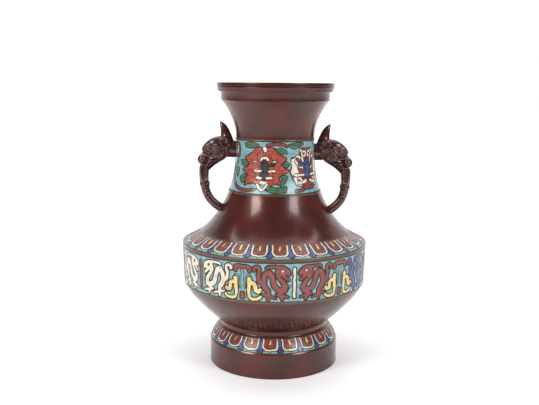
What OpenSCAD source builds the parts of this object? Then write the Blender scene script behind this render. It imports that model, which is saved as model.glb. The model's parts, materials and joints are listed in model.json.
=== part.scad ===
// Two-handled bronze vase with four enamelled bands.
// The vessel is a stack of turned castings that register in each other with lapped
// spigots. Every band is a shallow recess that holds a lattice of cell walls with the
// enamel colours between them. Two beast-head handles are pinned through the wall.
// Origin: centre of the foot on the surface that the vase stands on, +Z up,
// handles along +X and -X, the front of the vase towards -Y.

/* [Heights, from the foot upwards] */
// Height of the straight foot wall
foot_wall_h = 24.7; // [16:0.1:36]
// Height of the plain rim above the foot wall
foot_rim_h = 2.9; // [2:0.1:5]
// Height of the enamelled band on the foot
foot_band_h = 13.4; // [10:0.1:18]
// Height of the plain collar between the foot and the bowl
foot_collar_h = 6.5; // [4:0.1:12]
// Height of the lower bowl
bowl_h = 42.1; // [32:0.1:54]
// Height of the rim under the belly band
belly_low_rim_h = 1.9; // [1.2:0.1:4]
// Height of the belly band
belly_band_h = 40.1; // [32:0.1:50]
// Height of the rim above the belly band
belly_top_rim_h = 1.7; // [1.2:0.1:4]
// Height of the sharp shoulder rim
shoulder_rim_h = 1.3; // [1:0.1:3]
// Height of the sloping band of lappets on the shoulder
shoulder_band_h = 10.8; // [8:0.1:14]
// Height of the plain shoulder, up to the neck
flare_h = 44; // [35:0.1:54]
// Height of the bead under and over the neck band
bead_h = 1.4; // [1:0.1:2.4]
// Height of the neck band
neck_band_h = 54.6; // [46:0.1:66]
// Height of the throat, from the neck band to the collar
throat_h = 39.4; // [32:0.1:50]
// Height of the collar under the lip
collar_h = 9.2; // [7:0.1:14]
// Height of the lip
lip_h = 9.6; // [7:0.1:14]

/* [Radii] */
// Radius of the belly at its upper edge, the widest point of the vessel
belly_r = 100.3; // [84:0.1:121]
// How much narrower the belly is at its lower edge
belly_taper = 1.5; // [0:0.1:4]
// How far the band of lappets runs inwards over the shoulder
shoulder_run = 17.8; // [14:0.1:22]
// Radius of the foot where it stands
foot_r = 70.8; // [59:0.1:85]
// How far the foot band runs inwards towards the waist
foot_band_run = 8.5; // [6:0.1:11]
// How far the waist lies inside the top of the foot band
waist_step = 2.4; // [1.5:0.1:4]
// Radius at the bottom of the neck band
neck_base_r = 49.5; // [44:0.1:58]
// Radius of the narrowest part of the neck
neck_r = 42.3; // [37:0.1:48]
// Radius at the top of the throat
throat_top_r = 57.3; // [50:0.1:68]
// How far the collar stands out from the throat
collar_step = 1.1; // [0.5:0.1:2.5]
// How far the bottom of the lip stands out from the throat
lip_low_step = 4.3; // [3:0.1:6]
// How far the top of the lip stands out from the throat
lip_step = 5.7; // [4.4:0.1:8]

/* [Casting] */
// Thickness of the cast wall, measured square to it
wall = 3.4; // [2.8:0.1:4.4]
// Thickness of the belly drum
drum_wall = 4.4; // [3.6:0.1:5.5]
// Thickness of a spigot ring
spigot_t = 1.9; // [1.4:0.1:2.4]
// Length of a spigot
spigot_l = 5; // [3.5:0.1:7]
// Gap for solder around a spigot
solder_gap = 0.05; // [0.02:0.01:0.12]
// Thickness of the base plate
base_t = 3; // [2:0.1:4]
// Height of the base plate above the table
base_lift = 5; // [3:0.1:8]
// Width of the ledge that the base plate is soldered against
ledge_w = 2; // [1.4:0.1:3]
// Thickness of the collar at its foot
mouth_wall = 4.3; // [3.8:0.1:5.2]
// Radius of a bead moulding
bead_r = 0.9; // [0.6:0.05:1.2]

/* [Enamel] */
// Depth of the recess that holds a band
recess = 1; // [0.7:0.05:1.4]
// How far the enamel lies under the tops of the cell walls
sink = 0.12; // [0.05:0.01:0.3]
// Thickness of a cell wall
cell_wall = 0.6; // [0.4:0.05:0.9]
// Width of the plain metal line along a band's edges
edge_line = 0.8; // [0.5:0.05:1.4]

/* [Lappets] */
// Number of lappets around the shoulder
shoulder_lappets = 27; // [20:1:28]
// Width of a lappet on the shoulder
shoulder_lappet_w = 15.2; // [9:0.1:15.6]
// Width of the white frame of a lappet
frame_w = 1.7; // [1.2:0.1:2.2]
// Number of lappets around the foot
foot_lappets = 20; // [16:1:22]
// Width of a lappet on the foot
foot_lappet_w = 14.4; // [8:0.1:15]

/* [Belly pattern] */
// Number of panels around the belly
panels = 6; // [4:1:6]
// Angle of one of the upright bars, from the front towards +X
bar_angle = 11.8; // [0:0.1:60]
// Width of an upright bar
bar_w = 2.6; // [1.8:0.1:4]
// Width of a dragon's body
dragon_w = 4.4; // [2.4:0.1:4.8]

/* [Neck pattern] */
// Number of flowers around the neck
flowers = 6; // [4:2:6]
// Angle of one red flower, from the front towards +X
flower_angle = -12; // [-30:0.5:30]
// Height of a flower
flower_h = 41; // [30:0.5:46]
// Width of a flower
flower_w = 36; // [26:0.5:38]

/* [Handles] */
// Distance from the axis to the middle of the handle's upright stretch
handle_reach = 76.5; // [70:0.1:90]
// Thickness of the handle's loop, seen from the front
strap_t = 9.7; // [7:0.1:12]
// Width of the handle's loop, seen from the side
strap_w = 11; // [8:0.1:14]
// Radius of the handle's lower bend
strap_bend_r = 26; // [20:0.1:32]
// Angle of the handle's last stretch below the horizontal
strap_slope = 34.8; // [25:0.1:45]
// How much lower the right handle sits than the left one
right_drop = 2.4; // [0:0.1:4]
// Radius of the pins that hold the handles
pin_r = 2.5; // [1.8:0.1:3.2]
// Gap around a pin
pin_gap = 0.05; // [0.02:0.01:0.12]
// Radius of the head of a pin
pin_head_r = 5; // [3.6:0.1:6]
// Thickness of the head of a pin
pin_head_t = 1.6; // [1:0.1:2.4]

/* [Hidden] */
$fn = 96;
CURVE_STEPS = 12;     // straight steps in each curve of the plain outline
NECK_STEPS = 4;       // straight steps in the neck band
FOOT_STEPS = 2;       // straight steps in the foot band
SKIN_SIDES = 180;     // sides of a band's thin skin where it is drawn as a mesh
OVER = 1;             // how far a cutting shape runs past what it cuts
REACH = 8;            // how far a cell's prism runs to each side of its band

// Levels, each standing on the one before
foot_wall_z = foot_wall_h;
foot_band_z = foot_wall_z + foot_rim_h;
foot_collar_z = foot_band_z + foot_band_h;
bowl_z = foot_collar_z + foot_collar_h;
belly_z = bowl_z + bowl_h;
belly_band_z = belly_z + belly_low_rim_h;
belly_top_z = belly_band_z + belly_band_h;
shoulder_z = belly_top_z + belly_top_rim_h;
shoulder_band_z = shoulder_z + shoulder_rim_h;
flare_z = shoulder_band_z + shoulder_band_h;
low_bead_z = flare_z + flare_h;
neck_band_z = low_bead_z + bead_h;
top_bead_z = neck_band_z + neck_band_h;
throat_z = top_bead_z + bead_h;
collar_z = throat_z + throat_h;
lip_z = collar_z + collar_h;
top_z = lip_z + lip_h;

// Radii that follow from the driving ones
belly_low_r = belly_r - belly_taper;
bowl_top_r = belly_low_r - 1;
shoulder_low_r = belly_r - 1.5;
shoulder_top_r = shoulder_low_r - shoulder_run;
foot_corner_r = foot_r - 0.5;
foot_band_low_r = foot_r - 1.3;
foot_band_top_r = foot_band_low_r - foot_band_run;
waist_r = foot_band_top_r - waist_step;
mouth_bore_r = throat_top_r - mouth_wall;
collar_r = throat_top_r + collar_step;
lip_low_r = throat_top_r + lip_low_step;
lip_r = throat_top_r + lip_step;

// Outline curves, each a cubic through its two ends, listed from the top down
throat_curve = [[throat_top_r, collar_z], [neck_r + 0.43 * (throat_top_r - neck_r), throat_z
    + 0.7 * throat_h],
                [neck_r, throat_z + 0.38 * throat_h], [neck_r, throat_z]];
neck_curve = [[neck_r, top_bead_z], [neck_r, top_bead_z - 0.31 * neck_band_h],
              [neck_r + 0.12 * (neck_base_r - neck_r), neck_band_z + 0.28 * neck_band_h],
                  [neck_base_r, neck_band_z]];
flare_curve = [[neck_base_r + 0.5, low_bead_z], [neck_base_r + 0.15
    * (shoulder_top_r - neck_base_r), low_bead_z - 0.3 * flare_h],
               [neck_base_r + 0.56 * (shoulder_top_r - neck_base_r), flare_z + 0.24 * flare_h],
                   [shoulder_top_r, flare_z]];
bowl_curve = [[bowl_top_r, belly_z - 1], [bowl_top_r - 3.3, belly_z - 0.23 * bowl_h],
              [waist_r + 0.5 * (bowl_top_r - waist_r), bowl_z + 0.37 * bowl_h], [waist_r + 1.4, bowl_z]];
foot_curve = [[foot_band_top_r, foot_collar_z], [foot_band_top_r + 0.38
    * (foot_band_low_r - foot_band_top_r), foot_collar_z - 0.28 * foot_band_h],
              [foot_band_low_r - 0.1 * (foot_band_low_r - foot_band_top_r), foot_band_z + 0.3
                  * foot_band_h], [foot_band_low_r, foot_band_z]];
shoulder_curve = [[shoulder_top_r, flare_z], [shoulder_top_r, flare_z] * 2 / 3 + [shoulder_low_r,
    shoulder_band_z] / 3,
                  [shoulder_top_r, flare_z] / 3 + [shoulder_low_r, shoulder_band_z] * 2 / 3,
                      [shoulder_low_r, shoulder_band_z]];
belly_curve = [[belly_r, belly_top_z], [belly_r, belly_top_z] * 2 / 3 + [belly_low_r, belly_band_z] / 3,
               [belly_r, belly_top_z] / 3 + [belly_low_r, belly_band_z] * 2 / 3, [belly_low_r,
                   belly_band_z]];

// Each band's curve, its number of steps, and whether its cells are cut from above
NECK = [neck_curve, NECK_STEPS, false];
SHOULDER = [shoulder_curve, 1, true];
BELLY = [belly_curve, 1, false];
FOOT = [foot_curve, FOOT_STEPS, false];

drum_bore_r = belly_low_r - drum_wall;
foot_bore_r = foot_corner_r - wall;
foot_top_bore_r = waist_r - wall;

BRONZE = [0.36, 0.17, 0.13];
DARK_BRONZE = [0.24, 0.13, 0.10];
WALL_BRONZE = [0.42, 0.34, 0.24];
TURQUOISE = [0.50, 0.76, 0.80];
MAROON = [0.55, 0.24, 0.22];
WHITE = [0.92, 0.88, 0.82];
BLUE = [0.20, 0.24, 0.47];
YELLOW = [0.93, 0.83, 0.52];
GREEN = [0.30, 0.50, 0.36];

// ---- Outline helpers ----

// A point on a cubic curve given by its four control points
function curve_at(p, t) = pow(1 - t, 3) * p[0] + 3 * pow(1 - t, 2) * t * p[1] + 3 * (1 - t) * t
    * t * p[2] + pow(t, 3) * p[3];

// How fast the radius changes with height there
function curve_dir(p, t) = pow(1 - t, 2) * (p[1] - p[0]) + 2 * (1 - t) * t * (p[2] - p[1]) + t
    * t * (p[3] - p[2]);
function slope_at(p, t) = let (d = curve_dir(p, t)) d[0] / d[1];

// A curve's points in n steps, moved inwards by a depth measured square to the surface
function curve_points(p, n, depth = 0, t0 = 0, t1 = 1) = [for (i = [0:n])
    let (t = t0 + (t1 - t0) * i / n, q = curve_at(p, t), s = slope_at(p, t)) [q[0] - depth
        * sqrt(1 + s * s), q[1]]];

function reversed(a) = [for (i = [len(a) - 1:-1:0]) a[i]];

// The same for a band whose cells are cut from above: the depth is measured square to the
// surface, but moves points down
function sunk_points(p, n, depth, t0, t1) = [for (i = [0:n])
    let (t = t0 + (t1 - t0) * i / n, q = curve_at(p, t), s = slope_at(p, t)) [q[0], q[1] - depth
        * sqrt(1 + 1 / (s * s))]];
function skin_points(band, depth, t0, t1) = band[2] ? sunk_points(band[0], band[1], depth, t0, t1)
    : curve_points(band[0], band[1], depth, t0, t1);

// A turned skin between two depths under a band's curve, from share t0 to share t1 of its height
module band_skin(band, low_depth, top_depth, t0 = 0, t1 = 1) {
    rotate_extrude($fn = SKIN_SIDES)
        polygon(concat(skin_points(band, top_depth, t0, t1), reversed(skin_points(band, low_depth,
            t0, t1))));
}

module ring(z, h, r_in, r_out) {
    rotate_extrude() translate([r_in, z]) square([r_out - r_in, h]);
}

module bead(z, r) {
    rotate_extrude() translate([r, z]) circle(bead_r);
}

// Everything inside the outline, used to fit the handles to the vessel
module envelope() {
    rotate_extrude() polygon(concat([[0, collar_z], [throat_top_r, collar_z]],
        curve_points(throat_curve, CURVE_STEPS),
        curve_points(neck_curve, NECK_STEPS), curve_points(flare_curve, CURVE_STEPS), [[0, flare_z]]));
}

// ---- Vessel castings ----

module mouth_ring() {
    color(BRONZE) rotate_extrude() polygon([
        [mouth_bore_r, collar_z + spigot_l], [mouth_bore_r, top_z - 1.2], [mouth_bore_r + 1.2, top_z],
        [lip_r - 1, top_z], [lip_r, top_z - 0.9], [lip_r - 0.1, top_z - 3.4], [lip_r - 1.1, top_z - 3.9],
        [lip_r - 1.1, top_z - 4.7], [lip_r - 0.3, top_z - 5.2], [lip_low_r, lip_z + 0.8],
            [lip_low_r - 0.9, lip_z],
        [collar_r, lip_z], [collar_r - 0.2, collar_z], [mouth_bore_r + spigot_t + solder_gap, collar_z],
        [mouth_bore_r + spigot_t + solder_gap, collar_z + spigot_l]]);
}

module neck_casting() {
    color(BRONZE) difference() {
        union() {
            rotate_extrude() polygon(concat(curve_points(throat_curve, CURVE_STEPS),
                curve_points(neck_curve, NECK_STEPS), [[neck_base_r + 0.5, low_bead_z]],
                [[neck_base_r - wall, low_bead_z]], reversed(curve_points(neck_curve, NECK_STEPS,
                    wall)), reversed(curve_points(throat_curve, CURVE_STEPS, wall))));
            bead((top_bead_z + throat_z) / 2, neck_r);
            bead((low_bead_z + neck_band_z) / 2, neck_base_r + 0.2);
            ring(collar_z - 2, spigot_l + 2, mouth_bore_r, mouth_bore_r + spigot_t);
            ring(low_bead_z - spigot_l, spigot_l + 3, neck_base_r - wall - 1, neck_base_r - wall
                + spigot_t - 1);
        }
        band_skin(NECK, recess, -OVER);
        handle_pin_holes();
    }
}

module shoulder_casting() {
    top_seat_r = neck_base_r - wall + spigot_t - 1 + solder_gap;
    color(BRONZE) difference() {
        union() {
            rotate_extrude() polygon(concat(curve_points(flare_curve, CURVE_STEPS),
                [[shoulder_low_r, shoulder_band_z]],
                [[belly_r - 0.4, shoulder_z + 0.9], [belly_r, shoulder_z]], [[drum_bore_r - 3, shoulder_z]],
                [[drum_bore_r - 6, shoulder_z + 1.5]], reversed(curve_points(flare_curve,
                    CURVE_STEPS, wall))));
            ring(shoulder_z - spigot_l, spigot_l + 2, drum_bore_r - solder_gap - spigot_t,
                drum_bore_r - solder_gap);
        }
        ring(low_bead_z - spigot_l - OVER, spigot_l + 2 * OVER, neck_base_r - wall - 12, top_seat_r);
        band_skin(SHOULDER, recess, -OVER);
        handle_pin_holes();
    }
}

module belly_drum() {
    color(BRONZE) difference() {
        rotate_extrude() polygon([[drum_bore_r, belly_z], [belly_low_r - 0.8, belly_z],
            [belly_low_r, belly_z + 0.8],
            [belly_low_r, belly_band_z], [belly_r, belly_top_z], [belly_r, shoulder_z - 0.9],
                [belly_r - 0.7, shoulder_z],
            [drum_bore_r, shoulder_z]]);
        band_skin(BELLY, recess, -OVER);
    }
}

module lower_bowl() {
    color(BRONZE) {
        rotate_extrude() polygon(concat([[bowl_top_r - 0.6, belly_z]], curve_points(bowl_curve,
            CURVE_STEPS), [[foot_top_bore_r, bowl_z]],
            reversed(curve_points(bowl_curve, CURVE_STEPS, wall)), [[bowl_top_r - wall - 2.6, belly_z]]));
        ring(belly_z - 3, spigot_l + 3, drum_bore_r - solder_gap - spigot_t, drum_bore_r - solder_gap);
        ring(bowl_z - spigot_l, spigot_l + 2, foot_top_bore_r - solder_gap - spigot_t,
            foot_top_bore_r - solder_gap);
    }
}

module foot_ring() {
    plate_top_z = base_lift + base_t;
    color(BRONZE) difference() {
        rotate_extrude() polygon(concat([[waist_r, bowl_z], [waist_r, foot_collar_z + 0.4
            * foot_collar_h]], curve_points(foot_curve, FOOT_STEPS),
            [[foot_corner_r, foot_wall_z], [foot_r - 0.6, 1.2], [foot_r, 0.9], [foot_r, 0.5],
                [foot_r - 0.5, 0]],
            [[foot_bore_r, 0], [foot_bore_r, plate_top_z], [foot_bore_r - ledge_w, plate_top_z],
             [foot_bore_r - ledge_w, foot_wall_z]], [[foot_top_bore_r, foot_collar_z],
                 [foot_top_bore_r, bowl_z]]));
        band_skin(FOOT, recess, -OVER);
    }
}

module base_plate() {
    color(DARK_BRONZE) translate([0, 0, base_lift]) cylinder(h = base_t, r = foot_bore_r - solder_gap);
}

// ---- Handles ----

// The lower end of the loop, where it meets the shoulder
bend_top_z = throat_z - 49.8;
bend_end = [handle_reach - strap_bend_r * (1 - cos(90 - strap_slope)), bend_top_z - strap_bend_r
    * sin(90 - strap_slope)];
head_z = throat_z - 13;
upper_pin_z = throat_z - 12.4;
JOIN = 0.3;           // gap between two stretches of the loop, filled by a ridge
pin_in_handle = 9;    // how deep a pin goes into a handle
upper_pin_r = neck_r - wall;
// Where a line from the bend's end down the last stretch meets the shoulder, found by halving
strap_dir = -[cos(strap_slope), sin(strap_slope)];
function side_of(q) = (q[0] - bend_end[0]) * strap_dir[1] - (q[1] - bend_end[1]) * strap_dir[0];
function meeting(lo, hi, k) = let (mid = (lo + hi) / 2) k == 0 ? curve_at(flare_curve, mid)
    : side_of(curve_at(flare_curve, mid)) * side_of(curve_at(flare_curve, lo)) > 0 ? meeting(mid, hi, k - 1)
    : meeting(lo, mid, k - 1);
strap_l = norm(meeting(0, 1, 20) - bend_end);   // length of the last stretch
pad_h = 2.2;          // how far the pad stands out of the shoulder
ROOT = 12;            // how far a shape runs into the vessel before it is fitted to it

// A strap section with round edges
module strap_section() {
    square([strap_t, strap_w - strap_t], center = true);
    for (s = [-1, 1]) translate([0, s * (strap_w - strap_t) / 2]) circle(strap_t / 2);
}

// Places a shape on the axis of a handle's lower pin, which runs along the local X
module on_lower_pin_axis() {
    translate([bend_end[0], 0, bend_end[1]]) rotate([0, -strap_slope, 0]) children();
}

module pin_holes_one_side() {
    translate([0, 0, upper_pin_z]) rotate([0, 90, 0]) cylinder(h = neck_r + pin_in_handle,
        r = pin_r + pin_gap);
    on_lower_pin_axis() translate([-strap_l - 2 * wall, 0, 0]) rotate([0, 90, 0])
        cylinder(h = 2 * wall + pin_in_handle, r = pin_r + pin_gap);
}

// The +X handle sits lower than the -X one
module both_sides() {
    mirror([1, 0, 0]) children();
    translate([0, 0, -right_drop]) children();
}

module handle_pin_holes() {
    both_sides() pin_holes_one_side();
}

module ball(x, y, z, r) {
    translate([x, y, z]) sphere(r, $fn = 16);
}

module handle_shape() {
    difference() {
        union() {
            // root and skull
            hull() {
                ball(neck_r + 3, 0, head_z + 0.5, 9.8);
                ball(handle_reach - 9, 4, head_z - 0.5, 9.5);
                ball(handle_reach - 9, -4, head_z - 0.5, 9.5);
            }
            // muzzle with its curled tip
            hull() {
                ball(handle_reach - 5, 3, head_z - 2, 8);
                ball(handle_reach - 5, -3, head_z - 2, 8);
                translate([handle_reach + 1.5, 6, head_z - 11]) rotate([90, 0, 0]) cylinder(h = 12,
                    r = 5.4, $fn = 16);
            }
            // lower jaw around the top of the loop
            hull() {
                ball(handle_reach - 16, 0, head_z - 3, 7);
                translate([handle_reach, 4, head_z - 17]) rotate([90, 0, 0]) cylinder(h = 8, r = 5,
                    $fn = 16);
            }
            // horn
            hull() {
                ball(neck_r + 10.5, 0, head_z + 8, 5.4);
                ball(neck_r + 13, 0, head_z + 19, 3.2);
            }
            hull() {
                ball(neck_r + 13, 0, head_z + 19, 3.2);
                ball(neck_r + 16.6, 0, head_z + 28.8, 1);
            }
            // brows
            for (s = [-1, 1]) hull() {
                ball(handle_reach - 14, s * 7, head_z + 8, 2.6);
                ball(handle_reach - 3, s * 6.5, head_z + 3.5, 2.2);
            }
            // eyes
            for (s = [-1, 1]) ball(handle_reach - 6.5, s * 10.6, head_z + 0.5, 2.6);
            // loop
            translate([handle_reach, 0, bend_top_z
                + JOIN]) linear_extrude(head_z - 13 - bend_top_z - JOIN) strap_section();
            translate([handle_reach - strap_bend_r, 0, bend_top_z]) rotate([90, 0, 0])
                rotate_extrude(angle = -(90 - strap_slope)) translate([strap_bend_r, 0]) strap_section();
            on_lower_pin_axis() translate([-strap_l - ROOT, 0, 0]) rotate([0, 90, 0])
                linear_extrude(strap_l + ROOT - JOIN) strap_section();
            // ridges around the loop, over the joins of its stretches
            translate([handle_reach, 0, bend_top_z - 1.2]) cylinder(h = 2.4, r = strap_w / 2 + 0.7);
            on_lower_pin_axis() translate([-1.2, 0, 0]) rotate([0, 90, 0]) cylinder(h = 2.4,
                r = strap_w / 2 + 0.5);
            // pad on the shoulder
            on_lower_pin_axis() translate([-strap_l - ROOT, 0, 0]) rotate([0, 90, 0])
                cylinder(h = ROOT + pad_h, r = strap_w / 2 + 1.2);
        }
        envelope();
        pin_holes_one_side();
    }
}

module handle_left() {
    color(DARK_BRONZE) mirror([1, 0, 0]) handle_shape();
}

module handle_right() {
    color(DARK_BRONZE) translate([0, 0, -right_drop]) difference() {
        handle_shape();
        translate([0, 0, right_drop]) envelope();
    }
}

// Pins with heads that bear on the inside of the wall. A head is drawn long enough for the
// lower handle too, and the wall trims it to length.
head_l = pin_head_t + OVER + right_drop;

module handle_upper_pins() {
    color(DARK_BRONZE) {
        difference() {
            both_sides() translate([upper_pin_r - pin_head_t, 0, upper_pin_z]) rotate([0, 90, 0])
                cylinder(h = pin_head_t + OVER, r = pin_head_r);
            band_skin(NECK, wall, -OVER);
        }
        both_sides() translate([upper_pin_r - pin_head_t, 0, upper_pin_z]) rotate([0, 90, 0])
            cylinder(h = pin_head_t + wall + pin_in_handle - 1, r = pin_r);
    }
}

module handle_lower_pins() {
    color(DARK_BRONZE) {
        difference() {
            both_sides() on_lower_pin_axis() translate([-strap_l - wall - pin_head_t, 0,
                0]) rotate([0, 90, 0])
                cylinder(h = head_l, r = pin_head_r);
            band_skin([flare_curve, CURVE_STEPS, false], wall, -OVER);
        }
        both_sides() on_lower_pin_axis() translate([-strap_l - wall - pin_head_t, 0, 0]) rotate([0, 90, 0])
            cylinder(h = wall + pin_head_t + pin_in_handle - 1, r = pin_r);
    }
}

// ---- Enamelled bands ----
// Cells are flat shapes pushed through a band. A filling is where a cell crosses the band's
// skin between the recess floor and a little under the surface. The lattice is what is left.

pad_r = 11.6;         // radius around a handle's root that stays plain metal

// Pushes a flat upright shape outwards through a band at an angle from the front
module through_side(a, r, z) {
    rotate([0, 0, a]) translate([0, 1.5 * REACH - r, z]) rotate([90, 0, 0]) linear_extrude(2.5
        * REACH) children();
}

// Widens a flat shape all around, and leaves it as one clean outline
module widened(grow) { offset(delta = grow + 0.01) children(); }

// Pushes a shape drawn in plan upwards through a sloping band
module through_top(a, r, z) {
    rotate([0, 0, a]) translate([0, -r, z]) linear_extrude(3 * REACH, center = true) children();
}

// A small round shape with flat facets
module dot(r) { rotate(180 / DOT_SIDES) circle(r / cos(180 / DOT_SIDES), $fn = DOT_SIDES); }
DOT_SIDES = 6;

// A tab that hangs from y = 0, with its two lower corners cut off
module tab(w, l) {
    cut = tab_corner * w;
    polygon([[-w / 2, 0], [w / 2, 0], [w / 2, cut - l], [w / 2 - cut, -l], [cut - w / 2, -l], [-w / 2, cut - l]]);
}
tab_corner = 0.28;    // share of a tab's width that each corner takes

module lappet_frame(w, l) {
    difference() {
        tab(w, l);
        translate([0, OVER]) tab(w - 2 * frame_w, l - frame_w + OVER);
    }
}

// The pocket inside the frame, which the red field and the yellow drop share
module lappet_pocket(w, l) {
    inset = frame_w + cell_wall;
    tab(w - 2 * inset, l - inset);
}

module lappet_field(w, l) {
    difference() {
        lappet_pocket(w, l);
        lappet_drop();
    }
}

drop_r = 1.9;         // half the width of the yellow drop in each lappet
drop_y = 2.8;         // how far the drop's middle is below the top edge

module lappet_drop() {
    translate([0, -drop_y]) circle(drop_r, $fn = 4);
}

// The blue tongue between two lappets, wider at its lower end
module tongue(w, l, grow = 0) {
    top_r = w / 3 + grow;
    end_r = w / 2 + grow;
    end_y = -l - grow;
    polygon([[-top_r, 0], [top_r, 0], [end_r, end_y + end_r / 2], [end_r / 2, end_y], [-end_r / 2, end_y],
        [-end_r, end_y + end_r / 2]]);
}

// Shoulder: drawn in plan, y is measured along the radius
shoulder_l = shoulder_run - 3.2;                // length of a lappet in plan
shoulder_tongue_w = 2 * PI * shoulder_top_r / shoulder_lappets - shoulder_lappet_w - 2 * cell_wall;
shoulder_pitch = 360 / shoulder_lappets;
shoulder_start = 3.9;                           // angle of one lappet from the front
module on_shoulder(shift = 0) {
    for (i = [0:shoulder_lappets - 1])
        through_top(shoulder_start + (i + shift) * shoulder_pitch, shoulder_top_r + edge_line,
            shoulder_band_z + 5) children();
}
module shoulder_white_cells() { on_shoulder() lappet_frame(shoulder_lappet_w, shoulder_l); }
module shoulder_maroon_cells() { on_shoulder() lappet_field(shoulder_lappet_w, shoulder_l); }
module shoulder_yellow_cells() { on_shoulder() lappet_drop(); }
module shoulder_blue_cells() { on_shoulder(0.5) tongue(shoulder_tongue_w, shoulder_l - 1.2); }
module shoulder_turquoise_cells(low, top) {
    difference() {
        band_skin(SHOULDER, low, top, 0.62, 1 - edge_line / shoulder_run);
        on_shoulder() tab(shoulder_lappet_w + 2 * cell_wall, shoulder_l + cell_wall);
        on_shoulder(0.5) tongue(shoulder_tongue_w, shoulder_l - 1.2, cell_wall);
    }
}

// Foot: drawn upright
foot_l = foot_band_h - 2.2;                     // length of a lappet, seen from the side
foot_tongue_w = 2 * PI * foot_band_top_r / foot_lappets - foot_lappet_w - 2 * cell_wall;
foot_pitch = 360 / foot_lappets;
foot_start = -2.7;                                // angle of one lappet from the front
foot_mid_r = (foot_band_top_r + foot_band_low_r) / 2;
module on_foot(shift = 0) {
    for (i = [0:foot_lappets - 1])
        rotate([0, 0, foot_start + (i + shift) * foot_pitch]) translate([0, 2 - foot_band_top_r,
            foot_collar_z - edge_line])
            rotate([90, 0, 0]) linear_extrude(foot_band_low_r - foot_band_top_r + 5) children();
}
module foot_white_cells() { on_foot() lappet_frame(foot_lappet_w, foot_l); }
module foot_maroon_cells() { on_foot() lappet_field(foot_lappet_w, foot_l); }
module foot_yellow_cells() { on_foot() lappet_drop(); }
module foot_blue_cells() { on_foot(0.5) tongue(foot_tongue_w, foot_l - 1.2); }
module foot_turquoise_cells(low, top) {
    difference() {
        band_skin(FOOT, low, top, 0.66, 0.95);
        on_foot() tab(foot_lappet_w + 2 * cell_wall, foot_l + cell_wall);
        on_foot(0.5) tongue(foot_tongue_w, foot_l - 1.2, cell_wall);
    }
}

// A smooth line through points, as closely spaced points
function smooth_at(a, b, c, d, t) = 0.5 * (2 * b + (c - a) * t + (2 * a - 5 * b + 4 * c - d) * t * t
    + (3 * b - a - 3 * c + d) * t * t * t);
function smooth(p, n = 1) = [for (i = [0:len(p) - 2], k = [0:(i == len(p) - 2 ? n : n - 1)])
    smooth_at(p[max(i - 1, 0)], p[i], p[i + 1], p[min(i + 2, len(p) - 1)], k / n)];

// The outline of a line drawn with a pen that narrows towards its end
function unit(v) = v / norm(v);
function side_dir(p, i) = let (d = unit(p[min(i + 1, len(p) - 1)] - p[max(i - 1, 0)])) [-d[1], d[0]];
function pen(p, w, w_end, s) = [for (i = [0:len(p) - 1])
    p[i] + s * (w / 2 + (w_end - w) / 2 * i / (len(p) - 1)) * side_dir(p, i)];
module stroke(points, w, w_end) {
    p = smooth(points);
    polygon(concat(pen(p, w, w_end, 1), reversed(pen(p, w, w_end, -1))));
}

// Belly: drawn upright around the middle of the band, x runs away from the nearest bar
belly_mid_z = belly_band_z + belly_band_h / 2;
panel = 360 / panels;
dragon_x = 22;                                  // how far a dragon's middle is from its bar
mask_share = 0.5;                               // where the mask stands between two bars
bar_h = belly_band_h - 2 * edge_line - 1.2;
DRAGON_BODY = [[-16, 10], [-7, 10], [-6, 5], [-12, -3], [-8, -8.5], [-3, -6], [1, 5], [5, 9], [8,
    5], [9, -1], [5, -8], [4, -15]];
DRAGON_TAIL = [[9, 0], [13.5, 3], [13, 12], [17.5, 13]];
DRAGON_LEG = [[-8, -8], [-9, -14], [-15, -15]];
HOOK = [[6.6, 1], [6.8, -14], [10, -16.6], [17, -15]];
HOOK_ARM = [[6.6, -1], [12, -2], [13, -8.5], [17, -8.5]];

module on_belly(k, shift, x, flip) {
    a = bar_angle + (k + shift) * panel + flip * x / belly_r * 180 / PI;
    through_side(a, belly_r, belly_mid_z) mirror([flip < 0 ? 1 : 0, 0]) children();
}

module dragon() {
    stroke(DRAGON_BODY, dragon_w, 3);
    stroke(DRAGON_TAIL, 3, 2.4);
    stroke(DRAGON_LEG, 3, 1.6);
    translate([-10.5, 10]) dot(4);
}

module hook() {
    stroke(HOOK, 2.2, 1.8);
    stroke(HOOK_ARM, 2.6, 3);
}

module mask_bars(grow = 0) {
    translate([-8 - grow, 12 - grow]) square([16 + 2 * grow, 3.2 + 2 * grow]);
    translate([-1.9 - grow, -17 - grow]) square([3.8 + 2 * grow, 6.4 + 2 * grow]);
}

module all_dragons(colour, grow = 0) {
    for (k = [0:panels - 1], flip = [-1, 1]) if (k % 3 == colour) on_belly(k, 0, dragon_x,
        flip) widened(grow) dragon();
}
module all_bars(parity, grow = 0) {
    for (k = [0:panels - 1]) if (k % 2 == parity)
        on_belly(k, 0, 0, 1) square([bar_w + 2 * grow, bar_h + 2 * grow], center = true);
}
module all_mask_bars(grow = 0) { for (k = [0:panels - 1]) on_belly(k, mask_share, 0, 1) mask_bars(grow); }
module all_hooks(grow = 0) {
    for (k = [0:panels - 1], flip = [-1, 1]) on_belly(k, mask_share, 0, flip) widened(grow) hook();
}
module belly_white_cells(grow = 0) { all_dragons(2, grow); all_bars(0, grow); }
module belly_maroon_cells(grow = 0) { all_dragons(0, grow); all_bars(1, grow); all_mask_bars(grow); }
module belly_blue_cells(grow = 0) { all_dragons(1, grow); }
module belly_yellow_cells(grow = 0) { all_hooks(grow); }
module belly_turquoise_cells(low, top) {
    difference() {
        band_skin(BELLY, low, top, edge_line / belly_band_h, 1 - edge_line / belly_band_h);
        belly_white_cells(cell_wall);
        belly_maroon_cells(cell_wall);
        belly_blue_cells(cell_wall);
        belly_yellow_cells(cell_wall);
    }
}

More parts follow.
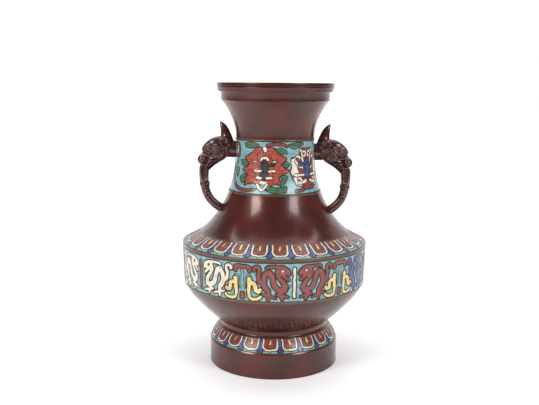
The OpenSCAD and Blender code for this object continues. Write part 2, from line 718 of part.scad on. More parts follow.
// Neck: drawn upright around the middle of the band
neck_mid_z = neck_band_z + neck_band_h / 2;
petals = 9;                                     // points of a flower
heart_r = 4.2;                                  // half the width of a flower's centre
function flower_points() = [for (i = [0:2 * petals - 1]) let (a = 90 + i * 180 / petals,
    s = i % 2 == 0 ? 1 : 0.74)
    [flower_w / 2 * s * cos(a), flower_h / 2 * s * sin(a)]];
function oval_points(rx, ry) = [for (i = [0:11]) [rx * cos(30 * i), ry * sin(30 * i)]];

module on_neck(parity, shift = 0) {
    for (k = [0:flowers - 1]) if (parity < 0 || k % 2 == parity)
        through_side(flower_angle + (k + shift) * 360 / flowers, (neck_r + neck_base_r) / 2,
            neck_mid_z) children();
}
module heart(grow = 0) { widened(grow) polygon(oval_points(heart_r, 1.9 * heart_r)); }
module curls(grow = 0) {
    for (s = [-1, 1], t = [-1, 1]) translate([s * 0.27 * flower_w, t * 0.22 * flower_h]) dot(1.7 + grow);
}
module flower() {
    difference() {
        polygon(flower_points());
        heart(cell_wall);
        curls(cell_wall);
    }
}
module leaves(grow = 0) {
    for (t = [-1, 1]) translate([0, t * 0.3 * neck_band_h]) widened(grow) polygon(oval_points(4.2, 7));
}
module root_pads() {
    for (side = [[-1, 0], [1, right_drop]]) translate([0, 0, head_z - side[1]]) rotate([0, 90
        * side[0], 0]) cylinder(h = 2 * neck_r, r = pad_r);
}
module neck_red_cells() { on_neck(0) flower(); on_neck(1) curls(); }
module neck_white_cells() { on_neck(1) flower(); on_neck(0) curls(); }
module neck_blue_cells() { on_neck(-1) heart(); }
module neck_green_cells() { on_neck(-1, 0.5) leaves(); }
module neck_turquoise_cells(low, top) {
    difference() {
        band_skin(NECK, low, top, edge_line / neck_band_h, 1 - edge_line / neck_band_h);
        on_neck(-1) widened(cell_wall) polygon(flower_points());
        on_neck(-1, 0.5) leaves(cell_wall);
        root_pads();
    }
}

module neck_cell_walls() {
    color(WALL_BRONZE) difference() {
        band_skin(NECK, recess, 0);
        difference() {
            union() { neck_red_cells(); neck_white_cells(); neck_blue_cells(); neck_green_cells(); }
            root_pads();
        }
        neck_turquoise_cells(recess + OVER, -OVER);
        handle_pin_holes();
    }
}
module shoulder_cell_walls() {
    color(WALL_BRONZE) difference() {
        band_skin(SHOULDER, recess, 0);
        shoulder_white_cells();
        on_shoulder() lappet_pocket(shoulder_lappet_w, shoulder_l);
        shoulder_blue_cells();
        shoulder_turquoise_cells(recess + OVER, -OVER);
    }
}
module belly_cell_walls() {
    color(WALL_BRONZE) difference() {
        band_skin(BELLY, recess, 0);
        belly_white_cells();
        belly_maroon_cells();
        belly_blue_cells();
        belly_yellow_cells();
        belly_turquoise_cells(recess + OVER, -OVER);
    }
}
module foot_cell_walls() {
    color(WALL_BRONZE) difference() {
        band_skin(FOOT, recess, 0);
        foot_white_cells();
        on_foot() lappet_pocket(foot_lappet_w, foot_l);
        foot_blue_cells();
        foot_turquoise_cells(recess + OVER, -OVER);
    }
}

module filling(colour, curve) {
    color(colour) intersection() { band_skin(curve, recess, sink); children(); }
}
module neck_filling(colour) {
    color(colour) difference() {
        intersection() { band_skin(NECK, recess, sink); children(); }
        root_pads();
    }
}
module neck_enamel_turquoise() { color(TURQUOISE) neck_turquoise_cells(recess, sink); }
module neck_enamel_red() { neck_filling(MAROON) neck_red_cells(); }
module neck_enamel_white() { neck_filling(WHITE) neck_white_cells(); }
module neck_enamel_blue() { neck_filling(BLUE) neck_blue_cells(); }
module neck_enamel_green() { neck_filling(GREEN) neck_green_cells(); }
module shoulder_enamel_white() { filling(WHITE, SHOULDER) shoulder_white_cells(); }
module shoulder_enamel_maroon() { filling(MAROON, SHOULDER) shoulder_maroon_cells(); }
module shoulder_enamel_yellow() { filling(YELLOW, SHOULDER) shoulder_yellow_cells(); }
module shoulder_enamel_blue() { filling(BLUE, SHOULDER) shoulder_blue_cells(); }
module shoulder_enamel_turquoise() { color(TURQUOISE) shoulder_turquoise_cells(recess, sink); }
module belly_enamel_turquoise() { color(TURQUOISE) belly_turquoise_cells(recess, sink); }
module belly_enamel_maroon() { filling(MAROON, BELLY) belly_maroon_cells(); }
module belly_enamel_white() { filling(WHITE, BELLY) belly_white_cells(); }
module belly_enamel_blue() { filling(BLUE, BELLY) belly_blue_cells(); }
module belly_enamel_yellow() { filling(YELLOW, BELLY) belly_yellow_cells(); }
module foot_enamel_white() { filling(WHITE, FOOT) foot_white_cells(); }
module foot_enamel_maroon() { filling(MAROON, FOOT) foot_maroon_cells(); }
module foot_enamel_yellow() { filling(YELLOW, FOOT) foot_yellow_cells(); }
module foot_enamel_blue() { filling(BLUE, FOOT) foot_blue_cells(); }
module foot_enamel_turquoise() { color(TURQUOISE) foot_turquoise_cells(recess, sink); }

mouth_ring();
neck_casting();
shoulder_casting();
belly_drum();
lower_bowl();
foot_ring();
base_plate();
handle_left();
handle_right();
handle_upper_pins();
handle_lower_pins();
neck_cell_walls();
shoulder_cell_walls();
belly_cell_walls();
foot_cell_walls();
neck_enamel_turquoise();
neck_enamel_red();
neck_enamel_white();
neck_enamel_blue();
neck_enamel_green();
shoulder_enamel_white();
shoulder_enamel_maroon();
shoulder_enamel_yellow();
shoulder_enamel_blue();
shoulder_enamel_turquoise();
belly_enamel_turquoise();
belly_enamel_maroon();
belly_enamel_white();
belly_enamel_blue();
belly_enamel_yellow();
foot_enamel_white();
foot_enamel_maroon();
foot_enamel_yellow();
foot_enamel_blue();
foot_enamel_turquoise();
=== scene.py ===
# %% [markdown]
# # A two-handled bronze vase with four enamelled bands
# The vase is a stack of turned bronze castings. Four shallow bands around it hold
# coloured enamel between thin metal walls, and two beast heads bite the loops of its
# handles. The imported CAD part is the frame: it gives every level and radius, and each
# visible piece made here takes the place of a CAD node of the same size.

# %% Load the frame and keep its size
import json
import math

import bpy
import numpy as np
from mathutils import Matrix, Vector
from mathutils.geometry import delaunay_2d_cdt

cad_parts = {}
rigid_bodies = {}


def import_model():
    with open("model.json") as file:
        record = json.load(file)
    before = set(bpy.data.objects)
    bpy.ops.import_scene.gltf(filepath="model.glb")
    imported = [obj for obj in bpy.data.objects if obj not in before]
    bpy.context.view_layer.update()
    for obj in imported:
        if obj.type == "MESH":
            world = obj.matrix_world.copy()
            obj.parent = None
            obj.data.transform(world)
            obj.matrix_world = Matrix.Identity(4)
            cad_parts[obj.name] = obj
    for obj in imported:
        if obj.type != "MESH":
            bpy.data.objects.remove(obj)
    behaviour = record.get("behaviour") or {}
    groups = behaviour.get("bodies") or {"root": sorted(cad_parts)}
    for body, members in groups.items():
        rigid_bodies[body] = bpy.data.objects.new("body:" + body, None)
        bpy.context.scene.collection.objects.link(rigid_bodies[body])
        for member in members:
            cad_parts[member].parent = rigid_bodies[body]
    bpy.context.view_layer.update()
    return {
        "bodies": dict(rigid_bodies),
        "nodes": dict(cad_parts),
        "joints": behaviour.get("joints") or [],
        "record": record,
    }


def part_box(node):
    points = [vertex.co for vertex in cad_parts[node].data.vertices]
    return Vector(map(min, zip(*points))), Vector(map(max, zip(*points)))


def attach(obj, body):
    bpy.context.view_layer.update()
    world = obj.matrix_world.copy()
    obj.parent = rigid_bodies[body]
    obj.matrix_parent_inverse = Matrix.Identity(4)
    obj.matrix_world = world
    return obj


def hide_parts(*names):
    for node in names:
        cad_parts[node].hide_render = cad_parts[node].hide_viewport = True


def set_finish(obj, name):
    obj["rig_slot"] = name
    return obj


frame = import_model()
MM = 0.001

# %% [markdown]
# ## Levels and radii
# Measuring the CAD nodes keeps this script in step with the part: if a band is made
# taller there, the looks follow here. All lengths below are in millimetres and are
# turned into metres only when a mesh is made.

# %% Read the levels of the bands from the CAD nodes
def level(node, end):
    """Height of a CAD node's lowest (0) or highest (1) point, in mm."""
    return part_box(node)[end].z / MM


def reach(node):
    """Largest radius of a turned CAD node, in mm."""
    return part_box(node)[1].x / MM


foot_band_z, foot_top_z = level("foot_cell_walls", 0), level("foot_cell_walls", 1)
bowl_z = level("foot_ring", 1)
belly_z, shoulder_z = level("belly_drum", 0), level("belly_drum", 1)
belly_band_z, belly_top_z = level("belly_cell_walls", 0), level("belly_cell_walls", 1)
flare_z = level("shoulder_cell_walls", 1)
low_bead_z = level("shoulder_casting", 1)
neck_band_z, neck_top_z = level("neck_cell_walls", 0), level("neck_cell_walls", 1)
collar_z, top_z = level("mouth_ring", 0), level("mouth_ring", 1)
foot_r, belly_r, lip_r = reach("foot_ring"), reach("belly_drum"), reach("mouth_ring")
foot_band_low_r, neck_base_r = reach("foot_cell_walls"), reach("neck_cell_walls")
shoulder_low_r = reach("shoulder_cell_walls")
print("foot band", foot_band_z, "belly band", belly_band_z, "neck band", neck_band_z)

# %% [markdown]
# ## The outline
# The vase was turned to a smooth outline, so each stretch of it is a cubic curve with
# four control points, as a designer would draw it. A curve needs few numbers, and it
# gives as many points as a mesh wants. The other radii follow from the measured ones.

# %% Name the remaining sizes and draw the outline's curves
SHOULDER_RIM_H = 1.3   # height of the sharp rim of the shoulder
BEAD_H = 1.4           # height of the beads over and under the neck band
BEAD_R = 0.9           # radius of a bead
WALL = 3.4             # thickness of the cast wall
DRUM_WALL = 4.4        # thickness of the belly drum
RECESS = 1.0           # depth of the bed that holds a band
SEAM = 0.25            # rounding where two castings meet
COLLAR_H = 9.2         # height of the collar under the lip

foot_corner_r = foot_r - 0.5
foot_top_r = foot_r - 9.8
waist_r = foot_r - 12.2
belly_low_r = belly_r - 1.5
bowl_top_r = belly_r - 2.5
shoulder_top_r = belly_r - 19.3
neck_r = neck_base_r - 7.2
throat_top_r = neck_r + 15
mouth_bore_r = throat_top_r - 4.3
shoulder_band_z = shoulder_z + SHOULDER_RIM_H
throat_z = neck_top_z + BEAD_H
foot_wall_z = foot_band_z - 2.9
lip_z = collar_z + COLLAR_H


def cubic(p0, p1, p2, p3):
    """A cubic curve through p0 and p3, as a function of the share t along it."""
    points = np.array([p0, p1, p2, p3], float)

    def at(t):
        t = np.asarray(t, float)[..., None]
        u = 1 - t
        return (u**3 * points[0] + 3 * u * u * t * points[1]
                + 3 * u * t * t * points[2] + t**3 * points[3])

    return at


throat_h, flare_h, neck_h = collar_z - throat_z, low_bead_z - flare_z, neck_top_z - neck_band_z
bowl_h, foot_h = belly_z - bowl_z, foot_top_z - foot_band_z
throat_curve = cubic((throat_top_r, collar_z), (neck_r + 6.45, throat_z + 0.7 * throat_h),
                     (neck_r, throat_z + 0.38 * throat_h), (neck_r, throat_z))
neck_curve = cubic((neck_r, neck_top_z), (neck_r, neck_top_z - 0.31 * neck_h),
                   (neck_r + 0.86, neck_band_z + 0.28 * neck_h), (neck_base_r, neck_band_z))
flare_curve = cubic((neck_base_r + 0.5, low_bead_z),
    (neck_base_r + 4.7, low_bead_z - 0.3 * flare_h),
                    (neck_base_r + 17.6, flare_z + 0.24 * flare_h), (shoulder_top_r, flare_z))
shoulder_curve = cubic((shoulder_top_r, flare_z), (shoulder_top_r + 5.9, flare_z - 3.6),
                       (shoulder_low_r - 5.9, shoulder_band_z + 3.6),
                           (shoulder_low_r, shoulder_band_z))
belly_curve = cubic((belly_r, belly_top_z), (belly_r - 0.5, belly_top_z - 13.4),
                    (belly_low_r + 0.5, belly_band_z + 13.4), (belly_low_r, belly_band_z))
bowl_curve = cubic((bowl_top_r, belly_z), (bowl_top_r - 3.3, belly_z - 0.23 * bowl_h),
                   (waist_r + 0.5 * (bowl_top_r - waist_r), bowl_z + 0.37 * bowl_h),
                   (waist_r + 1.4, bowl_z))
foot_curve = cubic((foot_top_r, foot_top_z), (foot_top_r + 3.2, foot_top_z - 0.28 * foot_h),
                   (foot_band_low_r - 0.85, foot_band_z + 0.3 * foot_h),
                       (foot_band_low_r, foot_band_z))
print("outline curves ready, from z", round(foot_band_z, 1), "to", round(collar_z, 1))


# %% A helper that moves a curve inwards by a depth
def outline(curve, steps, depth=0.0):
    """Points of a curve from its top down, sunk square to the surface by a depth."""
    t = np.linspace(0, 1, steps + 1)
    points, ahead = curve(t), curve(t + 1e-4) - curve(t - 1e-4)
    square = np.stack([ahead[:, 1], -ahead[:, 0]], 1)
    square /= np.linalg.norm(square, axis=1)[:, None]
    square *= np.sign(square[:, :1] + 1e-9)
    return points - depth * square


def arc(r, z, radius, start, end, steps=8):
    """Points of an arc in the outline's plane. Angles in degrees, 0 points outwards."""
    a = np.radians(np.linspace(start, end, steps + 1))
    return np.stack([r + radius * np.cos(a), z + radius * np.sin(a)], 1)


print("flare at mid height has radius", flare_curve(0.5)[0].round(1))

# %% [markdown]
# ## Turning a mesh
# A casting is its outline swept once around the axis, like work on a lathe. Blender's
# Screw modifier does the same, but plain vertex rings give exact closed walls and even
# quads. The edges that are sharper than 30 degrees keep a crisp line, the rest is smooth.

# %% Helpers that make a mesh object and turn an outline
TURN_SIDES = 288
RIM_HIGHLIGHT_LEVELS = [(foot_band_z - 0.3, 0.8), (foot_top_z + 0.2, 0.7), (belly_band_z - 1, 1.6),
              (shoulder_z - 0.6, 1.0), (shoulder_z + 0.6, 1.2), (flare_z + 0.2, 0.5),
              (neck_band_z - 0.7, 0.9), (neck_top_z + 0.7, 0.9)]   # rims and beads where a lighter colour is painted as a highlight line
SHARP = math.radians(30)
made = {}


def add_piece(name, vertices, faces, slot_name, *stands_for):
    """Makes a piece from points in mm, and lets it ride on the body in place of CAD nodes."""
    mesh = bpy.data.meshes.new(name)
    mesh.from_pydata((np.asarray(vertices) * MM).tolist(), [], faces)
    mesh.validate()
    mesh.polygons.foreach_set("use_smooth", [True] * len(mesh.polygons))
    mesh.set_sharp_from_angle(angle=SHARP)
    piece = bpy.data.objects.new(name, mesh)
    bpy.context.scene.collection.objects.link(piece)
    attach(piece, "root")
    if stands_for:
        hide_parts(*stands_for)
    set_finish(piece, slot_name)
    made[name] = piece
    return piece


def turned(name, profile, slot_name, *stands_for):
    """Turns a closed outline of (radius, height) points into a piece."""
    profile = np.asarray(profile, float)
    angles = np.linspace(0, 2 * math.pi, TURN_SIDES, endpoint=False)
    ring = np.stack([np.outer(np.cos(angles), profile[:, 0]),
                     np.outer(np.sin(angles), profile[:, 0]),
                     np.broadcast_to(profile[:, 1], (TURN_SIDES, len(profile)))], 2)
    n = len(profile)
    i, j = np.meshgrid(np.arange(TURN_SIDES), np.arange(n), indexing="ij")
    i2, j2 = (i + 1) % TURN_SIDES, (j + 1) % n
    faces = np.stack([i * n + j, i * n + j2, i2 * n + j2, i2 * n + j], 2).reshape(-1, 4)
    piece = add_piece(name, ring.reshape(-1, 3), faces.tolist(), slot_name, *stands_for)
    # Painted highlight: a share that is high on the rims and beads, where a lighter brown is painted
    # as a highlight line
    rim_highlight = np.zeros(n)
    for z, spread in RIM_HIGHLIGHT_LEVELS:
        rim_highlight = np.maximum(rim_highlight, np.exp(-((profile[:, 1] - z) / spread) ** 2))
    highlight_attribute = piece.data.attributes.new("rim_highlight", "FLOAT", "POINT")
    highlight_attribute.data.foreach_set("value", np.tile(rim_highlight, TURN_SIDES).astype(np.float32))
    print(name, len(faces), "faces, height", round(np.ptp(profile[:, 1]), 1), "mm")
    return piece


# %% [markdown]
# ## The castings
# Six castings stack up to the vase: lip, neck, shoulder, belly drum, bowl and foot. Each
# is a closed wall with its own inside, so the vase looks right down its mouth as well.
# A band's bed is simply the same curve, one millimetre deeper.

# %% Turn the lip and the neck
lip_profile = np.concatenate([
    [(mouth_bore_r, collar_z)], [(mouth_bore_r, top_z - 1.6)],
    arc(mouth_bore_r + 1.4, top_z - 1.4, 1.4, 180, 90),
    arc(lip_r - 1.0, top_z - 1.0, 1.0, 90, 0), [(lip_r - 0.1, top_z - 3.2)],
    arc(lip_r - 0.5, top_z - 3.4, 0.4, 0, -90, 4), [(lip_r - 1.1, top_z - 4.2)],
    arc(lip_r - 1.0, top_z - 5.0, 0.5, 60, -20, 4), [(lip_r - 1.4, lip_z + 0.9)],
    arc(lip_r - 2.2, lip_z + 0.8, 0.8, 0, -90, 5),
    [(throat_top_r + 1.3, lip_z)], [(throat_top_r + 1.1, lip_z - 0.4)],
    [(throat_top_r + 0.9, collar_z + SEAM)], [(throat_top_r + 0.6, collar_z)]])
turned("lip_casting", lip_profile, "bronze", "mouth_ring")

top_bead = arc(neck_r, (neck_top_z + throat_z) / 2, BEAD_R, 51, -51)
low_bead = arc(neck_base_r + 0.2, (low_bead_z + neck_band_z) / 2, BEAD_R, 51, -51)
neck_profile = np.concatenate([
    outline(throat_curve, 40), top_bead, outline(neck_curve, 32, RECESS), low_bead,
    [(neck_base_r + 0.5, low_bead_z)], [(neck_base_r - WALL, low_bead_z)],
    outline(neck_curve, 20, WALL)[::-1], outline(throat_curve, 24, WALL)[::-1]])
turned("neck_casting_turned", neck_profile, "bronze", "neck_casting")

# %% Turn the shoulder, the belly drum and the bowl
rim_round = arc(belly_r - 0.9, shoulder_z + 0.9, 0.9, 60, -20, 5)
shoulder_profile = np.concatenate([
    outline(flare_curve, 44), outline(shoulder_curve, 8, RECESS),
        [(shoulder_low_r, shoulder_band_z)],
    rim_round, [(belly_r - 0.1, shoulder_z)], [(belly_low_r - DRUM_WALL, shoulder_z)],
    [(belly_low_r - DRUM_WALL - 6, shoulder_z + 4)], outline(flare_curve, 24, WALL)[::-1]])
turned("shoulder_casting_turned", shoulder_profile, "bronze", "shoulder_casting")

drum_profile = np.concatenate([
    [(belly_r - SEAM, shoulder_z)], [(belly_r, shoulder_z - SEAM)], [(belly_r, belly_top_z)],
    outline(belly_curve, 6, RECESS), [(belly_low_r, belly_band_z)],
    [(belly_low_r, belly_z + 0.7)], [(belly_low_r - 0.3, belly_z + 0.2)],
        [(belly_low_r - 0.8, belly_z)],
    [(belly_low_r - DRUM_WALL, belly_z)], [(belly_low_r - DRUM_WALL, shoulder_z)]])
turned("belly_drum_turned", drum_profile, "bronze", "belly_drum")

bowl_profile = np.concatenate([
    outline(bowl_curve, 44), [(waist_r + 0.9, bowl_z)], [(waist_r - WALL, bowl_z)],
    outline(bowl_curve, 24, WALL)[::-1]])
turned("bowl_casting_turned", bowl_profile, "bronze", "lower_bowl")

# %% Turn the foot with its corner and flat resting edge
LEDGE_Z = 8.0          # height of the ledge that the base plate lies against
LEDGE_W = 2.0          # its width
foot_bore_r = foot_corner_r - WALL
foot_profile = np.concatenate([
    [(waist_r, bowl_z)], [(waist_r, foot_top_z + 3.2)],
    arc(waist_r + 1.7, foot_top_z + 2.2, 1.7, 180, 240, 5), [(foot_top_r, foot_top_z)],
    outline(foot_curve, 10, RECESS), [(foot_band_low_r, foot_band_z)],
    arc(foot_corner_r - 0.9, foot_wall_z + 0.9, 0.9, 50, 0, 5),
        [(foot_corner_r + 0.1, foot_wall_z - 1)],
    [(foot_r - 0.4, 2.6)], arc(foot_r - 0.7, 0.7, 0.7, 20, -90, 6), [(foot_bore_r, 0)],
    [(foot_bore_r, LEDGE_Z)], [(foot_bore_r - LEDGE_W, LEDGE_Z)],
        [(foot_bore_r - LEDGE_W, foot_wall_z)],
    [(waist_r - WALL, foot_top_z)], [(waist_r - WALL, bowl_z)]])
turned("foot_casting_turned", foot_profile, "bronze", "foot_ring")

# %% [markdown]
# ## Drawing the cells
# Each band holds a flat pattern of cells. The pattern is drawn on a fine grid, and each
# grid point stores how far it is from a shape: negative inside, positive outside. With
# such distances it is easy to keep a metal wall of even thickness between two colours,
# because a wall is simply every place that is near a shape but not in it.

# %% Helpers that measure the distance to lines and areas
GRID = 0.35            # mm between grid points
CELL_WALL = 1.3        # mm, thickness of a metal wall between two cells


def flowing(points, steps=5):
    """A smooth line through points. Each point may carry a width as its third number."""
    p = np.array(points, float)
    p = np.concatenate([p[:1], p, p[-1:]])
    t = np.linspace(0, 1, steps, endpoint=False)[:, None]
    pieces = [0.5 * (2 * b + (c - a) * t + (2 * a - 5 * b + 4 * c - d) * t**2
                     + (3 * b - a - 3 * c + d) * t**3)
              for a, b, c, d in zip(p[:-3], p[1:-2], p[2:-1], p[3:])]
    return np.concatenate(pieces + [p[-1:]])


def stroke(x, y, points, smooth=True):
    """Distance to a pen line. Each point is (x, y, width)."""
    line = flowing(points) if smooth else np.array(points, float)
    best = np.full(x.shape, 1e3)
    for (ax, ay, aw), (bx, by, bw) in zip(line[:-1], line[1:]):
        dx, dy = bx - ax, by - ay
        t = np.clip(((x - ax) * dx + (y - ay) * dy) / max(dx * dx + dy * dy, 1e-9), 0, 1)
        gap = np.hypot(x - ax - t * dx, y - ay - t * dy) - (aw + t * (bw - aw)) / 2
        best = np.minimum(best, gap)
    return best


def area(x, y, corners, smooth=False):
    """Distance to a closed shape, negative inside."""
    ring = np.array(corners, float)
    if smooth:
        ring = flowing(list(corners) + [corners[0]], 4)[:-1]
    after = np.roll(ring, -1, axis=0)
    near, inside = np.full(x.shape, 1e3), np.zeros(x.shape, bool)
    for (ax, ay), (bx, by) in zip(ring, after):
        dx, dy = bx - ax, by - ay
        t = np.clip(((x - ax) * dx + (y - ay) * dy) / max(dx * dx + dy * dy, 1e-9), 0, 1)
        near = np.minimum(near, np.hypot(x - ax - t * dx, y - ay - t * dy))
        crosses = (ay > y) != (by > y)
        safe = dy if abs(dy) > 1e-9 else 1e-9
        inside ^= crosses & (x < ax + (y - ay) * dx / safe)
    return np.where(inside, -near, near)


def oval(x, y, cx, cy, rx, ry):
    """Distance to an upright oval, close enough for small shapes."""
    far = np.hypot((x - cx) / rx, (y - cy) / ry)
    return (far - 1) * min(rx, ry)


def slab(x, y, left, right, top, bottom, corner=0.4):
    """Distance to an upright rectangle with rounded corners."""
    dx = np.abs(x - (left + right) / 2) - (right - left) / 2 + corner
    dy = np.abs(y - (top + bottom) / 2) - (bottom - top) / 2 + corner
    return np.hypot(np.maximum(dx, 0), np.maximum(dy, 0)) + np.minimum(np.maximum(dx, dy),
        0) - corner


# %% A drawing that keeps the walls between its cells
class Drawing:
    """Cells on one repeat of a band: x runs to the right, y down from the band's top."""

    def __init__(self, width, height, ground, top, bottom):
        nx, ny = round(width / GRID), round(height / GRID)
        self.width, self.height = width, height
        self.x, self.y = np.meshgrid(np.linspace(0, width, nx + 1), np.linspace(0, height, ny + 1))
        self.cells = {ground: np.maximum(top - self.y, self.y - bottom)}
        self.limit = self.cells[ground].copy()

    def add(self, label, distance, wall=CELL_WALL):
        """Adds a cell, and pushes all earlier cells a wall's thickness away."""
        distance = np.maximum(distance, self.limit)
        for other in self.cells:
            self.cells[other] = np.maximum(self.cells[other], wall - distance)
        mine = self.cells.get(label)
        self.cells[label] = distance if mine is None else np.minimum(mine, distance)

    def line(self, distance):
        """Leaves a bare metal line across whatever is there."""
        for other in self.cells:
            self.cells[other] = np.maximum(self.cells[other], -distance)


print("a grid point every", GRID, "mm")

# %% [markdown]
# ## From a drawing to triangles
# Where a distance passes through zero, a cell ends. Walking over the grid squares and
# joining those zero points gives each cell's outline ("marching squares"). A triangulation
# that must keep the outlines as edges then fills cells and walls with one shared mesh, so
# they meet without a gap.

# %% Find the outlines and triangulate one repeat
def outlines(distance, x, y):
    """Points and segments where the distance is zero."""
    inside = distance < 0
    share_h = distance[:, :-1] / (distance[:, :-1] - distance[:, 1:] + 1e-12)
    share_v = distance[:-1, :] / (distance[:-1, :] - distance[1:, :] + 1e-12)
    share_h, share_v = np.clip(share_h, 0.04, 0.96), np.clip(share_v, 0.04, 0.96)
    cut_h, cut_v = inside[:, :-1] != inside[:, 1:], inside[:-1, :] != inside[1:, :]
    number_h = np.where(cut_h, np.cumsum(cut_h).reshape(cut_h.shape) - 1, -1)
    number_v = np.where(cut_v, np.cumsum(cut_v).reshape(cut_v.shape) - 1 + cut_h.sum(), -1)
    step_x, step_y = x[0, 1] - x[0, 0], y[1, 0] - y[0, 0]
    points = np.concatenate([
        np.stack([x[:, :-1][cut_h] + share_h[cut_h] * step_x, y[:, :-1][cut_h]], 1),
        np.stack([x[:-1, :][cut_v], y[:-1, :][cut_v] + share_v[cut_v] * step_y], 1)])
    sides = np.stack([number_h[:-1, :], number_v[:, 1:], number_h[1:, :], number_v[:, :-1]], 2)
    count = (sides >= 0).sum(2)
    plain = sides[count == 2]
    segments = [tuple(row[row >= 0]) for row in plain]
    middle = (distance[:-1, :-1] + distance[1:, 1:] + distance[:-1, 1:] + distance[1:, :-1]) < 0
    for (r, c) in np.argwhere(count == 4):
        top, right, bottom, left = sides[r, c]
        joined = middle[r, c] == inside[r, c]
        segments += [(top, right), (bottom, left)] if joined else [(top, left), (bottom, right)]
    return points, segments


def sample(distance, drawing, points):
    """The distance at any points of the drawing."""
    fx = np.clip(points[:, 0] / drawing.width, 0, 1) * (distance.shape[1] - 1)
    fy = np.clip(points[:, 1] / drawing.height, 0, 1) * (distance.shape[0] - 1)
    c = np.minimum(fx.astype(int), distance.shape[1] - 2)
    r = np.minimum(fy.astype(int), distance.shape[0] - 2)
    u, v = fx - c, fy - r
    return (distance[r, c] * (1 - u) * (1 - v) + distance[r, c + 1] * u * (1 - v)
            + distance[r + 1, c] * (1 - u) * v + distance[r + 1, c + 1] * u * v)


def triangles_of(drawing, spacing=1.7):
    """Triangulates a drawing. Returns points, triangles, a label for each and depths."""
    all_points, all_edges = [], []
    for distance in drawing.cells.values():
        points, segments = outlines(distance, drawing.x, drawing.y)
        base = sum(len(p) for p in all_points)
        all_points.append(points)
        all_edges += [(int(a) + base, int(b) + base) for a, b in segments]
    w, h = drawing.width, drawing.height
    nx, ny = max(2, round(w / spacing)), max(2, round(h / spacing))
    gx, gy = np.meshgrid(np.linspace(0, w, nx + 1), np.linspace(0, h, ny + 1))
    spread = np.stack([gx.ravel(), gy.ravel()], 1)
    clear = np.ones(len(spread), bool)
    for distance in drawing.cells.values():
        clear &= np.abs(sample(distance, drawing, spread)) > 0.45
    border = ((spread[:, 0] < 1e-6) | (spread[:, 0] > w - 1e-6)
              | (spread[:, 1] < 1e-6) | (spread[:, 1] > h - 1e-6))
    corner = ((spread[:, 0] < 1e-6) | (spread[:, 0] > w - 1e-6)) & (
        (spread[:, 1] < 1e-6) | (spread[:, 1] > h - 1e-6))
    all_points.append(spread[(clear & ~border) | corner | (border & clear)])
    points = np.concatenate(all_points)
    for axis, value in ((0, 0.0), (0, w), (1, 0.0), (1, h)):
        on_side = np.flatnonzero(np.abs(points[:, axis] - value) < 1e-6)
        order = on_side[np.argsort(points[on_side, 1 - axis])]
        all_edges += list(zip(order[:-1].tolist(), order[1:].tolist()))
    out = delaunay_2d_cdt([Vector(p) for p in points], all_edges, [], 1, 1e-5, False)
    verts = np.array([tuple(v) for v in out[0]])
    faces = np.array([f for f in out[2] if len(f) == 3])
    centres = verts[faces].mean(1)
    depth = np.stack([sample(d, drawing, centres) for d in drawing.cells.values()])
    labels = np.where(depth.min(0) < 0, depth.argmin(0), -1)
    names = list(drawing.cells)
    edge = verts[faces]
    turn = ((edge[:, 1, 0] - edge[:, 0, 0]) * (edge[:, 2, 1] - edge[:, 0, 1])
            - (edge[:, 1, 1] - edge[:, 0, 1]) * (edge[:, 2, 0] - edge[:, 0, 0]))
    faces[turn > 0] = faces[turn > 0][:, ::-1]
    keep = np.abs(turn) > 1e-7
    inner = np.stack([sample(d, drawing, verts) for d in drawing.cells.values()]).min(0)
    return verts, faces[keep], [names[i] if i >= 0 else "wall" for i in labels[keep]], inner


# %% [markdown]
# ## Laying a drawing round the vase
# One repeat of the drawing is copied around the band. Hand-cut cells are never quite
# alike, so a small smooth wave shifts every line by a quarter of a millimetre. Then each
# colour becomes a closed solid that fills its cells to just below the tops of the walls.

# %% Wrap the repeats and make one piece for each colour
SINK, DISH, BED = 0.05, 0.11, 0.92     # mm: enamel's edge, extra in its middle, its bottom
WOBBLE = 0.22                          # mm: how far the hand-cut lines stray


def surface_of(curve):
    """A function from a share of the turn and mm down the curve to a point and its normal."""
    t = np.linspace(0, 1, 400)
    p = curve(t)
    length = np.concatenate([[0], np.cumsum(np.hypot(*np.diff(p, axis=0).T))])
    slope = np.gradient(p, axis=0)
    square = np.stack([-slope[:, 1], slope[:, 0]], 1)
    square /= np.hypot(*square.T)[:, None]
    square *= np.sign(square[:, :1].mean())

    def at(turn_share, down, depth):
        r = np.interp(down, length, p[:, 0]) - depth * np.interp(down, length, square[:, 0])
        z = np.interp(down, length, p[:, 1]) - depth * np.interp(down, length, square[:, 1])
        a = 2 * math.pi * turn_share
        return np.stack([r * np.sin(a), -r * np.cos(a), z], 1)

    return at, length[-1]


FINISH_OF = {}         # the finish of each piece whose slot alone doesn't say it
STANDS_FOR = {("neck", "maroon"): "red", ("neck", "black"): "blue"}


